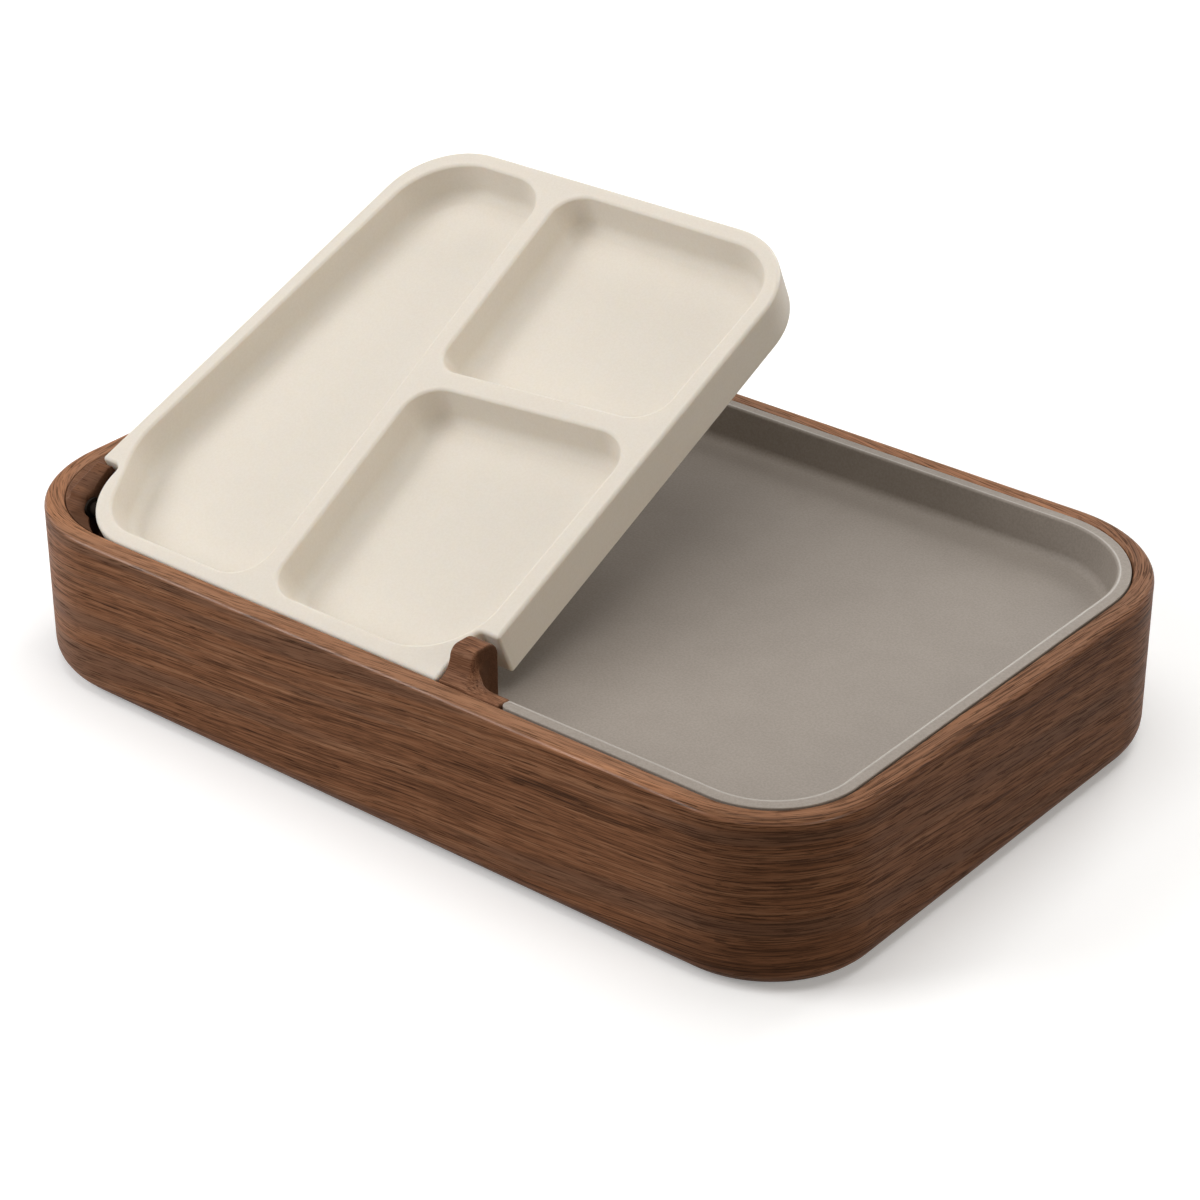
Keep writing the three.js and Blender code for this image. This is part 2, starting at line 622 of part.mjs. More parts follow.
// Pivot on each side: a pin fixed in the lug, a bush in the tray and a friction washer between them
Object.entries(bushSpans).forEach(([side, [x0, x1]]) => {
  const right = side === 'right';
  addPiece(`pivot_bush_${side}`, tube(PIN_R + FIT_GAP, BUSH_R, x0, x1), DARK_NYLON, trayGroup);
  const washerStart = right ? x1 + FIT_GAP : x0 - FIT_GAP - WASHER_THICK;
  const washer = tube(PIN_R + FIT_GAP, WASHER_R, washerStart, washerStart + WASHER_THICK);
  addPiece(`friction_washer_${side}`, washer, DARK_NYLON, trayGroup);
  const [pinStart, pinEnd] = right
    ? [x0 + FIT_GAP, LUG_RIGHT_X[1] - PIN_COVER - FIT_GAP]
    : [LUG_LEFT_X[0] + PIN_COVER + FIT_GAP, x1 - FIT_GAP];
  addPiece(`hinge_pin_${side}`, onHinge(PIN_R, pinStart, pinEnd), STEEL);
});

export default part;
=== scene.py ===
"""Divided serving tray: walnut base, grey inlay and a cream tray hinged between two wooden lugs."""
import json
import math

import bmesh
import bpy
from bpy.props import FloatProperty, FloatVectorProperty, PointerProperty
from mathutils import Matrix, Vector


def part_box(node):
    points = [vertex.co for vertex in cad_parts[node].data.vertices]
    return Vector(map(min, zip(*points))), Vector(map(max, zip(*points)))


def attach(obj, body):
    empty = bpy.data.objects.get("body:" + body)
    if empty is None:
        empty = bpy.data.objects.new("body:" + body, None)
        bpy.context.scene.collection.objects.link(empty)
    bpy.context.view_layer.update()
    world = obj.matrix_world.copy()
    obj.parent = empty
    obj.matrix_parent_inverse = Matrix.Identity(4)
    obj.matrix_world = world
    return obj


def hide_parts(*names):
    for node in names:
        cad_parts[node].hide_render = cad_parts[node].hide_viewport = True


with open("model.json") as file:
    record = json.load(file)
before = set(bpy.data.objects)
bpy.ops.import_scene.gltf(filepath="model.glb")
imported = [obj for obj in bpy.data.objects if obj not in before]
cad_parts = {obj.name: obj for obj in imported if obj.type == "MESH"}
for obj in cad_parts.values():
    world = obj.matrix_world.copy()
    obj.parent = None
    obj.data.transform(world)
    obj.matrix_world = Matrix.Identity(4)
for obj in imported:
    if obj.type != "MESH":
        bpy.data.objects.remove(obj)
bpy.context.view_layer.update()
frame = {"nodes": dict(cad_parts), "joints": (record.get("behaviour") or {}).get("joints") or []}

bl_info = {
    "name": "Divided Serving Tray",
    "version": (1, 0, 0),
    "blender": (4, 5, 0),
    "location": "View3D > Sidebar > Serving Tray",
    "description": "Builds and finishes a walnut serving tray with a hinged divided tray",
    "category": "Object",
}

# Places taken from the packed frame
BAND_LOW, BAND_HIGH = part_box("base_band")
HINGE = frame["joints"][0]
PIVOT = Vector(HINGE["pos_m"])
TILT = -math.radians(HINGE["range_deg"][0])
TRAY_NORMAL = Vector((0.0, -math.sin(TILT), math.cos(TILT)))
PANEL_SCREWS = [name for name in frame["nodes"] if name.startswith("panel_screw")]
FOOT_PADS = [name for name in frame["nodes"] if name.startswith("foot_pad")]

# Fineness of the curved stretches
CORNER_STEPS = 28
NOTCH_STEPS = 8
FILLET_STEPS = 7
EASE_STEPS = 3
CARVE_VOXEL = 0.00035

# Corners over the first radius get the finer steps, and none is sharper than the second
FINE_CORNER = 0.008
SHARPEST_CORNER = 0.00005

# Sides of the round pieces
ROD_SIDES = 48
HEAD_SIDES = 40
SHANK_SIDES = 24
PAD_SIDES = 64

# A screw's shank as a share of the narrow end of its head, and its recess as a share of the head
SHANK_SHARE = 0.98
RECESS_SHARE = 1.2

# Room round a carved lug, and how far a bore runs out of its post, in radii of the post's edge
CARVE_MARGIN = 0.002
BORE_PAST = 4.0

# Points nearer than this are merged
WELD = 0.000002

# Edges over these angles, in degrees, stay sharp in the shading
SHARP = 40.0
TRAY_SHARP = 38.0
SCREW_SHARP = 30.0

# Edges over these angles, in degrees, are eased
INLAY_EASE = 50.0
PAD_EASE = 30.0

# Parts of the walnut's grain: length, width, detail, roughness and shift along the wood
GRAIN = {
    "figure": (0.240, 0.0120, 2.0, 0.50, 0.0),
    "streak": (0.100, 0.0022, 3.0, 0.60, 0.0),
    "fibre": (0.026, 0.00055, 2.0, 0.60, 0.0),
    "dash": (0.022, 0.00058, 1.0, 0.50, 7.0),
    "pore": (0.0090, 0.00046, 1.0, 0.50, 3.0),
}

# How the parts of the grain make up the tone, and where the tone is dark, middling and light
FIGURE_SHARE = 0.34
STREAK_SHARE = 0.27
FIBRE_SHARE = 0.35
TONE_LIFT = 0.02
TONE_STOPS = (0.34, 0.49, 0.65)

# Levels of the grain between which smoky bands, long lines and short lines come in
SMOKE_LEVELS = (0.50, 0.62)
DASH_LEVELS = (0.56, 0.60)
PORE_LEVELS = (0.58, 0.62)
DARKEST_LINE = 0.85

# The oiled edge of the rim, in shares of its radius below the rim
OILED_EDGE = (0.65, 0.2)

# Clouds per metre of the mouldings, levels between which clouds and grit tint them, and how much
CLOUDS = 60.0
CLOUD_LEVELS = (0.30, 0.70)
GRIT_LEVELS = (0.35, 0.65)
CLOUD_SHARE = 0.3
GRIT_SHARE = 0.7

# How far red, green and blue light spreads under the surface of a moulding
HAZE_RADIUS = (1.0, 0.75, 0.5)
HAZE_SCALE = 0.006

# Roughness of the oil on the rim and of the worn edges of the mouldings
COAT_ROUGHNESS = 0.25

# Lines per metre of the steel along X, Y and Z
STEEL_LINES = (60.0, 4000.0, 4000.0)

# Half the width of the floor in metres, and the width of the camera's sensor in millimetres
FLOOR_REACH = 6.0
SENSOR_WIDTH = 36.0
WHITE = (1.0, 1.0, 1.0)
UP = Vector((0.0, 0.0, 1.0))

# How far the wooden ledge on the left runs on behind its solid
LEDGE_RUN = 0.0085

# Plan of the divided tray, measured from its front edge: x, y and corner radius
TRAY_PLAN = [
    (0.0324, 0.0, 0.0013),
    (0.0324, 0.0255, 0.003),
    (0.0421, 0.0255, 0.0013),
    (0.0377, 0.239, 0.036),
    (-0.1574, 0.2365, 0.034),
    (-0.1708, 0.0325, 0.0013),
    (-0.1606, 0.0325, 0.003),
    (-0.1606, 0.0, 0.028),
]
TRAY_RIGHT = TRAY_PLAN[0][0]
TRAY_LEFT = TRAY_PLAN[-1][0]
LONG_POCKET = [
    (-0.1465, 0.0065, 0.022),
    (-0.0675, 0.0065, 0.015),
    (-0.089, 0.230, 0.020),
    (-0.1505, 0.230, 0.030),
    (-0.1632, 0.046, 0.036),
]
FRONT_POCKET = [
    (-0.059, 0.0075, 0.014),
    (0.0332, 0.0075, 0.030),
    (0.032, 0.1276, 0.016),
    (-0.0698, 0.118, 0.014),
]
BACK_POCKET = [
    (-0.071, 0.127, 0.011),
    (0.0315, 0.1365, 0.015),
    (0.031, 0.231, 0.026),
    (-0.081, 0.231, 0.013),
]
POCKETS = [LONG_POCKET, FRONT_POCKET, BACK_POCKET]


def length(label, default, description):
    """A size in metres that a user may change."""
    return FloatProperty(name=label, description=description, default=default, unit="LENGTH")


def angle(label, degrees, description):
    """An angle that a user may change."""
    default = math.radians(degrees)
    return FloatProperty(name=label, description=description, default=default, subtype="ANGLE")


def colour(label, default, description):
    """A linear colour that a user may change."""
    return FloatVectorProperty(
        name=label, description=description, default=default, subtype="COLOR", size=3, min=0, max=1
    )


def amount(label, default, description, unit="NONE"):
    """A plain number that a user may change."""
    return FloatProperty(name=label, description=description, default=default, unit=unit)


def share(label, default, description):
    """A part of the whole that a user may change."""
    return FloatProperty(
        name=label, description=description, default=default, subtype="FACTOR", min=0, max=1
    )


def location(label, default, description):
    """A place in metres that a user may change."""
    return FloatVectorProperty(
        name=label, description=description, default=default, subtype="TRANSLATION", size=3
    )


class BaseSizes(bpy.types.PropertyGroup):
    """Sizes of the walnut base."""

    length: length("Length", BAND_HIGH.x - BAND_LOW.x, "Outside length of the band")
    width: length("Width", BAND_HIGH.y - BAND_LOW.y, "Outside width of the band")
    rim: length("Rim height", BAND_HIGH.z, "Top of the rim above the table")
    foot: length("Foot height", BAND_LOW.z, "Underside of the band above the table")
    corner: length("Corner radius", 0.058, "Radius of three of the band's corners in plan")
    near_corner: length("Near corner radius", 0.045, "Radius of the front right corner in plan")
    rim_width: length("Rim width", 0.0082, "Width of the rim's top")
    top_round: length("Top round", 0.0026, "Radius of the outer top edge")
    inner_round: length("Inner round", 0.0007, "Radius of the inner top edge")
    bottom_round: length("Bottom round", 0.009, "Radius of the outer bottom edge")
    lower_wall: length("Lower wall", 0.016, "Wall thickness below the deck")
    shoulder: length("Shoulder height", 0.0444, "Height of the shoulder that carries the deck")
    cleat: length("Cleat inset", 0.024, "Inner edge of the cleat for the bottom panel")
    cleat_top: length("Cleat top", 0.018, "Height of the cleat's top")
    rabbet: length("Rabbet inset", 0.014, "Inner edge of the foot of the band")
    rabbet_top: length("Rabbet top", 0.0088, "Height of the rabbet that takes the panel")


class InlaySizes(bpy.types.PropertyGroup):
    """Sizes of the grey inlay."""

    gap: length("Gap", 0.0005, "Gap between the rim and the lip")
    rise: length("Lip rise", 0.0004, "How far the lip stands above the rim")
    lip_width: length("Lip width", 0.0054, "Width of the lip")
    lip_thickness: length("Lip thickness", 0.0026, "Thickness of the lip")
    outer_round: length("Outer round", 0.0004, "Radius of the lip's outer edge")
    inner_round: length("Inner round", 0.0013, "Radius of the lip's inner edge")
    bead: length("Bead", 0.0002, "Height of the bead along the lip's inner edge")
    bead_width: length("Bead width", 0.0006, "Width of the bead's outer slope")
    floor: length("Floor height", 0.0545, "Top of the floor above the table")
    wall: length("Wall", 0.0026, "Wall thickness")
    floor_round: length("Floor round", 0.004, "Radius between wall and floor")
    draft: angle("Draft", 9, "Lean of the wall")
    slot_right: length("Slot right", 0.0338, "Right end of the slot for the hinge")
    slot_back: length("Slot back", -0.100, "Back of the slot for the hinge")
    lug_clearance: length("Lug clearance", 0.0009, "Gap between a lug's post and the slot")
    slot_inset: length("Slot inset", 0.018, "Width of the ring where the lip is left off")
    nose: length("Lip nose", 0.0626, "Left end of the lip at the front")
    lip_end: length("Lip end", -0.083 + LEDGE_RUN, "Front end of the lip at the left")


class TraySizes(bpy.types.PropertyGroup):
    """Sizes of the divided tray."""

    thickness: length("Thickness", 0.0205, "Height of the tray's side")
    edge_round: length("Edge round", 0.0016, "Radius of the outer top edge")
    foot_round: length("Foot round", 0.002, "Radius of the outer bottom edge")
    pocket_depth: length("Pocket depth", 0.0155, "Depth of the compartments")
    pocket_rim: length("Pocket rim", 0.0016, "Radius of the compartments' rims")
    pocket_floor: length("Pocket floor", 0.006, "Radius between wall and floor of a compartment")
    draft: angle("Draft", 11, "Lean of the compartments' walls")
    skin: length("Skin", 0.0032, "Wall thickness of the moulding")
    web: length("Web", 0.006, "Thickness of the top between the compartments")
    skirt_draft: length("Skirt draft", 0.0008, "Lean of the skirt on the inside")
    pivot_setback: length("Pivot setback", 0.0135, "Distance of the hinge line from the front edge")
    pivot_depth: length("Pivot depth", 0.0063, "Distance of the hinge line below the top")
    bore: length("Bore radius", 0.0031, "Radius of the bores for the bushes")
    bore_gap: length("Bore gap", 0.0003, "Gap behind the bushes")
    boss_right: length("Right boss", 0.016, "Length of the solid corner round the right bush")
    boss_left: length("Left boss", 0.024, "Length of the solid corner round the left bush")


class LugSizes(bpy.types.PropertyGroup):
    """Sizes of the hinge lugs."""

    right_width: length("Right post width", 0.011, "Width of the right post along the hinge")
    right_front: length("Right post front", -0.1197, "Front of the right post")
    left_start: length("Left post start", -0.172, "Left side of the left post")
    left_end: length("Left post end", -0.1622, "Right side of the left post")
    left_front: length("Left post front", -0.113, "Front of the left post")
    left_back: length("Left post back", -0.0925, "Back of the left post")
    left_reach: length("Left post reach", 0.0184, "Radius of the left post's back about the hinge line")
    # Painted shade on the left lug: part of the full strength all over, rising to full over the last
    # stretch of its post towards the right
    left_painted_shade_reach: length("Left shade", 0.006, "Distance over which the left post darkens to the right")
    left_painted_shade: share("Left dusk", 0.45, "How dark the left lug is before that")
    left_sink: length("Left post sink", 0.0005, "Depth of the left post's top below the tray's top")
    edge: length("Edge round", 0.0011, "Radius of a post's edges")
    front_round: length("Front round", 0.0042, "Radius of a post's top at the front")
    back_round: length("Back round", 0.0058, "Radius of a post's top at the back")
    blend: length("Blend", 0.0095, "Reach of the hollow between the right post and its ledge")
    left_blend: length("Left blend", 0.005, "Reach of the hollow between the left post and its ledge")
    ledge: length("Ledge width", 0.0064, "Width of the right ledge inside the rim")
    left_ledge: length("Left ledge width", 0.0054, "Width of the left ledge inside the rim")
    ledge_edge: length("Ledge edge", 0.0004, "Radius of a ledge's edges")
    swing: length("Swing", 0.004, "Room kept round the corner of the divided tray")
    fit: length("Fit", 0.0003, "Gap round the lugs")
    bore: length("Bore radius", 0.0019, "Radius of the bores for the pins")


class FastenerSizes(bpy.types.PropertyGroup):
    """Sizes of the screws and the feet."""

    head: length("Head radius", 0.00275, "Radius of a screw's head")
    head_depth: length("Head depth", 0.002, "Depth of a screw's countersunk head")
    shank: length("Shank radius", 0.0015, "Radius of a screw's shank")
    tip: length("Tip radius", 0.0002, "Radius of a screw's blunt tip")
    recess: length("Recess width", 0.0008, "Width of the cross recess")
    recess_depth: length("Recess depth", 0.0011, "Depth of the cross recess")
    pad: length("Pad radius", 0.009, "Radius of a foot")
    tread: length("Tread radius", 0.0072, "Radius of the raised middle of a foot")
    tread_rise: length("Tread rise", 0.0004, "How far the middle of a foot stands out")
    pad_round: length("Pad round", 0.0003, "Radius of a foot's edges")


class Finishes(bpy.types.PropertyGroup):
    """Colours and strengths of the finishes, with the light and shade painted on some of them."""

    walnut_dark: colour("Walnut dark", (0.040, 0.017, 0.008), "Dark lines of the walnut")
    walnut_mid: colour("Walnut", (0.296, 0.126, 0.060), "Main tone of the walnut")
    walnut_light: colour("Walnut light", (0.480, 0.245, 0.133), "Light streaks of the walnut")
    walnut_smoke: colour("Walnut smoke", (0.120, 0.062, 0.041), "Greyer bands of the walnut")
    smoke: share("Smoke", 0.55, "Strength of the greyer bands")
    lines: share("Lines", 0.44, "Strength of the long dark lines")
    pores: share("Pores", 0.40, "Strength of the short dark lines")
    oil: colour("Oil", (1.0, 0.86, 0.76), "Tint of the oil on the rim's edge")
    # Painted light: the top of the rim is painted lighter
    painted_rim_light: share("Rim light", 0.30, "How much lighter the top of the rim is")
    grain_bends: amount("Grain bends", 6.0, "Bends of the grain in a metre")
    grain_wave: length("Grain wave", 0.012, "How far the grain wanders off a straight line")
    grain_lean: amount("Grain lean", 0.09, "Slope of the grain on the front and right of the base")
    # Painted shade: the band is painted darker towards its right end, and its dark lines stronger there
    painted_shade_start: length("Dark end", 0.125, "Where the band starts to darken towards its right end")
    painted_shade_reach: length("Dark reach", 0.05, "Distance over which the band darkens")
    painted_end_shade: share("End shade", 0.38, "How dark the band gets there")
    painted_shade_lines: share("End lines", 0.20, "How much stronger the dark lines get there")
    lug_smoke: share("Lug smoke", 0.45, "Strength of the greyer tone on the lugs")
    # Painted shade: strength of the dark painted on the shaded parts of the lugs
    painted_lug_shade: share("Lug shade", 0.75, "Strength of the dark part of a lug")
    cream: colour("Cream", (0.738, 0.682, 0.603), "Divided tray")
    cream_shade: colour("Cream shade", (0.712, 0.653, 0.569), "Clouding of the divided tray")
    taupe: colour("Taupe", (0.318, 0.278, 0.240), "Inlay")
    taupe_shade: colour("Taupe shade", (0.270, 0.235, 0.202), "Clouding of the inlay")
    # Painted highlight: a light colour painted along the rounded edges of the mouldings, and its
    # strength
    edge_painted_light_and_gloss: colour("Worn edge", (0.800, 0.760, 0.700), "Edges of the mouldings")
    painted_edge_light: share("Wear", 0.22, "Strength of that colour on the edges")
    wear_gloss: share("Wear gloss", 0.35, "Gloss of the edges")
    steel: colour("Steel", (0.560, 0.565, 0.575), "Screws and pins")
    nylon: colour("Nylon", (0.014, 0.010, 0.007), "Bushes and washers")
    silicone: colour("Silicone", (0.045, 0.043, 0.040), "Foot pads")


class StageSettings(bpy.types.PropertyGroup):
    """Camera, light and floor."""

    azimuth: angle("Azimuth", 39.18, "Turn of the camera from the front")
    elevation: angle("Elevation", 29.18, "Height of the camera above the horizon")
    distance: length("Distance", 1.29064, "Distance of the camera from its target")
    shift_right: length("Target right", 0.00483, "Target to the right of the base's axis")
    shift_up: length("Target up", 0.00605, "Target above the middle of the base, in the picture")
    target_height: length("Target height", 0.030, "Height of the middle of the base")
    focal_length: amount("Focal length", 97.77, "Focal length on a 36 mm sensor", "CAMERA")
    key: amount("Key lamp", 19.5, "Power of the lamp at the front left", "POWER")
    key_place: location("Key place", (-1.1, -1.1, 1.0), "Where the lamp at the front left hangs")
    top: amount("Top lamp", 19.2, "Power of the lamp overhead", "POWER")
    top_place: location("Top place", (0.0, 0.0, 1.9), "Where the lamp overhead hangs")
    rear: amount("Rear lamp", 13.6, "Power of the lamp behind", "POWER")
    rear_place: location("Rear place", (0.0, 1.6, 1.0), "Where the lamp behind hangs")
    side: amount("Side lamp", 8.0, "Power of the lamp at the right", "POWER")
    side_place: location("Side place", (1.7, -0.2, 0.7), "Where the lamp at the right hangs")
    lamp_target: location("Lamp target", (0.0, 0.0, 0.05), "Where the lamps point")
    lamp_size: length("Lamp size", 1.0, "Width of the lamps at the sides")
    top_size: length("Top lamp size", 1.6, "Width of the lamp overhead")
    fill: amount("Fill light", 0.08, "Strength of the light from all round")
    fill_tint: colour("Fill tint", (1.0, 0.94, 0.86), "Colour of the light from all round")
    side_tint: colour("Side tint", (1.0, 0.93, 0.82), "Colour of the lamp on the right")
    floor: colour("Floor", (0.95, 0.95, 0.95), "Colour of the floor as the camera sees it")
    bounce: colour("Bounce", (0.22, 0.22, 0.22), "Colour of the floor for the light that it throws back")
    glow: amount("Floor glow", 0.21, "Light that the camera alone sees on the floor")
    far_glow: amount("Far glow", 1.0, "The same light far from the object, where no lamp reaches")
    near: length("Near floor", 0.6, "Distance from the middle where the far light starts")
    far: length("Far floor", 2.0, "Distance from the middle where the far light is full")


class Wire:
    """An output socket that takes part in Python arithmetic."""

    def __init__(self, nodes, socket):
        self.nodes = nodes
        self.socket = socket

    def maths(self, operation, other=0.0):
        """A maths node with this wire first."""
        return self.nodes.maths(operation, self, other)

    def __add__(self, other):
        return self.maths("ADD", other)

    def __sub__(self, other):
        return self.maths("SUBTRACT", other)

    def __rsub__(self, other):
        return self.nodes.maths("SUBTRACT", other, self)

    def __mul__(self, other):
        return self.maths("MULTIPLY", other)

    def __truediv__(self, other):
        return self.maths("DIVIDE", other)

    def __rtruediv__(self, other):
        return self.nodes.maths("DIVIDE", other, self)

    def __neg__(self):
        return self.maths("MULTIPLY", -1.0)

    def __abs__(self):
        return self.maths("ABSOLUTE")

    __radd__ = __add__
    __rmul__ = __mul__

    def least(self, other):
        return self.maths("MINIMUM", other)

    def most(self, other):
        return self.maths("MAXIMUM", other)

    def root(self):
        return self.maths("SQRT")

    def output(self, name):
        """Another output of the same node."""
        return Wire(self.nodes, self.socket.node.outputs[name])


class Nodes:
    """A node tree that is written as expressions."""

    def __init__(self, tree):
        self.tree = tree

    def node(self, kind, settings=(), sockets=(), output=0):
        """Adds a node, sets its settings first, then the values or links of its sockets."""
        made = self.tree.nodes.new(kind)
        for name, value in dict(settings).items():
            if name == "stops":
                self.set_stops(made.color_ramp, value)
            else:
                setattr(made, name, value)
        for name, value in dict(sockets).items():
            if isinstance(value, Wire):
                self.tree.links.new(value.socket, made.inputs[name])
            else:
                made.inputs[name].default_value = value
        return Wire(self, made.outputs[output]) if made.outputs else None

    def set_stops(self, ramp, stops):
        """Gives a colour ramp its places and colours."""
        while len(ramp.elements) < len(stops):
            ramp.elements.new(1.0)
        for element, (place, shade) in zip(ramp.elements, stops):
            element.position = place
            element.color = (*shade, 1.0)

    def maths(self, operation, first, second=0.0):
        return self.node("ShaderNodeMath", {"operation": operation}, {0: first, 1: second})

    def split(self, vector):
        parts = self.node("ShaderNodeSeparateXYZ", {}, {0: vector})
        return [parts.output(axis) for axis in "XYZ"]

    def join(self, x, y, z):
        return self.node("ShaderNodeCombineXYZ", {}, {"X": x, "Y": y, "Z": z})

    def mix(self, factor, first, second):
        sockets = {0: factor, 6: first, 7: second}
        return self.node("ShaderNodeMix", {"data_type": "RGBA"}, sockets, 2)

    def noise(self, vector, detail=2.0, roughness=0.5, scale=1.0):
        sockets = {"Vector": vector, "Scale": scale, "Detail": detail, "Roughness": roughness}
        return self.node("ShaderNodeTexNoise", {}, sockets)

    def ramp(self, value, stops):
        return self.node("ShaderNodeValToRGB", {"stops": stops}, {"Fac": value})

    def bump(self, height, strength, distance):
        sockets = {"Height": height, "Strength": strength, "Distance": distance}
        return self.node("ShaderNodeBump", {}, sockets)

    def ridge(self, value, low, high):
        """1 in the middle of a range, falling to 0 at its ends."""
        middle = (low + high) / 2
        return self.step(value, low, middle) * self.step(value, high, middle)

    def step(self, value, low, high):
        """A soft step from 0 at low to 1 at high."""
        settings = {"interpolation_type": "SMOOTHSTEP"}
        return self.node("ShaderNodeMapRange", settings, {"Value": value, 1: low, 2: high})

    def named(self, name, kind="FLOAT"):
        """The values that are stored under a name."""
        return self.node("GeometryNodeInputNamedAttribute", {"data_type": kind}, {"Name": name})

    def store(self, geometry, name, value, kind="FLOAT"):
        """Stores a value for each point under a name."""
        settings = {"data_type": kind, "domain": "POINT"}
        sockets = {"Geometry": geometry, "Name": name, "Value": value}
        return self.node("GeometryNodeStoreNamedAttribute", settings, sockets)

    def lift(self, geometry, height):
        """Moves geometry up."""
        offset = self.join(0.0, 0.0, height)
        return self.node("GeometryNodeTransform", {}, {"Geometry": geometry, "Translation": offset})

    def difference(self, first, second):
        """Cuts the second shape out of the first."""
        settings = {"operation": "DIFFERENCE", "solver": "EXACT"}
        return self.node("GeometryNodeMeshBoolean", settings, {"Mesh 1": first, "Mesh 2": second})

    def union(self, first, second):
        """Joins two closed shapes."""
        settings = {"operation": "UNION", "solver": "EXACT"}
        joined = self.node("GeometryNodeMeshBoolean", settings, {"Mesh 2": first})
        self.tree.links.new(second.socket, joined.socket.node.inputs["Mesh 2"])
        return joined


def full(shade):
    """A colour property with its alpha."""
    return (*shade, 1.0)


def new_finish(name):
    """An empty node material and its nodes."""
    material = bpy.data.materials.new(name)
    material.use_nodes = True
    material.node_tree.nodes.clear()
    return material, Nodes(material.node_tree)


def end_finish(material, nodes, sockets):
    """Ends a material in one Principled shader."""
    shader = nodes.node("ShaderNodeBsdfPrincipled", {}, sockets)
    nodes.node("ShaderNodeOutputMaterial", {}, {"Surface": shader})
    return material


def walnut(name, wrapped, dark=None):
    """Oiled walnut. The grain follows the band where it is wrapped, and X otherwise.

    For a lug, dark is a function that gives the strength of its painted shade at a place."""
    tones = bpy.context.scene.tray_finishes
    material, nodes = new_finish(name)
    spot = nodes.node("ShaderNodeTexCoord", {}, {}, "Object")
    place = spot
    if wrapped:
        settings = {"attribute_type": "GEOMETRY", "attribute_name": "grain"}
        place = nodes.node("ShaderNodeAttribute", settings, {}, "Vector")
    right, back, up = nodes.split(spot)
    x, y, z = nodes.split(place)
    wave = nodes.noise(place, detail=1.0, scale=tones.grain_bends) - 0.5
    bent = z + wave * tones.grain_wave + (back - right) * tones.grain_lean

    def grain(part):
        along, across, detail, roughness, shift = GRAIN[part]
        beside = y / along if wrapped else y / across
        return nodes.noise(nodes.join(x / along + shift, beside, bent / across), detail, roughness)

    figure = grain("figure")
    streak = grain("streak")
    fibre = grain("fibre")
    dash = nodes.step(grain("dash"), *DASH_LEVELS)
    pore = nodes.step(grain("pore"), *PORE_LEVELS)
    tone = figure * FIGURE_SHARE + streak * STREAK_SHARE + fibre * FIBRE_SHARE + TONE_LIFT
    shades = (tones.walnut_dark, tones.walnut_mid, tones.walnut_light)
    wood = nodes.ramp(tone, list(zip(TONE_STOPS, shades)))
    bands = nodes.step(figure, *SMOKE_LEVELS) * tones.smoke
    wood = nodes.mix(bands, wood, full(tones.walnut_smoke))
    # Painted shade: towards the band's right end its dark lines are painted stronger, and further down
    # its tone darker
    end = nodes.step(right, tones.painted_shade_start, tones.painted_shade_start + tones.painted_shade_reach) if wrapped else 0.0
    stronger = end * tones.painted_shade_lines
    lines = dash * (stronger + tones.lines) + pore * (stronger + tones.pores)
    lines = lines.least(DARKEST_LINE)
    # Painted shade on the lugs, as strong as dark gives at each place
    if dark:
        wood = nodes.mix(tones.lug_smoke, wood, full(tones.walnut_smoke))
        lines = lines.most(dark(nodes, right, back) * tones.painted_lug_shade)
    if wrapped:
        rim = bpy.context.scene.tray_base.rim
        edge = bpy.context.scene.tray_base.top_round
        # Painted light on the top of the rim
        lit = nodes.step(up, rim - edge, rim) * tones.painted_rim_light
        wood = nodes.mix(lit, wood, full(tones.walnut_light))
        # Painted shade towards the band's right end
        wood = nodes.mix(end * tones.painted_end_shade, wood, full(tones.walnut_dark))
    sockets = {
        "Base Color": nodes.mix(lines, wood, full(tones.walnut_dark)),
        "Roughness": 0.42 + fibre * 0.14 + lines * 0.2,
        "Specular IOR Level": 0.06,
        "Normal": nodes.bump(fibre * 0.4 - lines, strength=0.25, distance=0.0002),
    }
    if wrapped:
        low, high = OILED_EDGE
        sockets["Coat Weight"] = nodes.ridge(up, rim - edge * low, rim - edge * high) * (fibre * 0.9)
        sockets["Coat Roughness"] = COAT_ROUGHNESS
        sockets["Coat Tint"] = full(tones.oil)
    return end_finish(material, nodes, sockets)


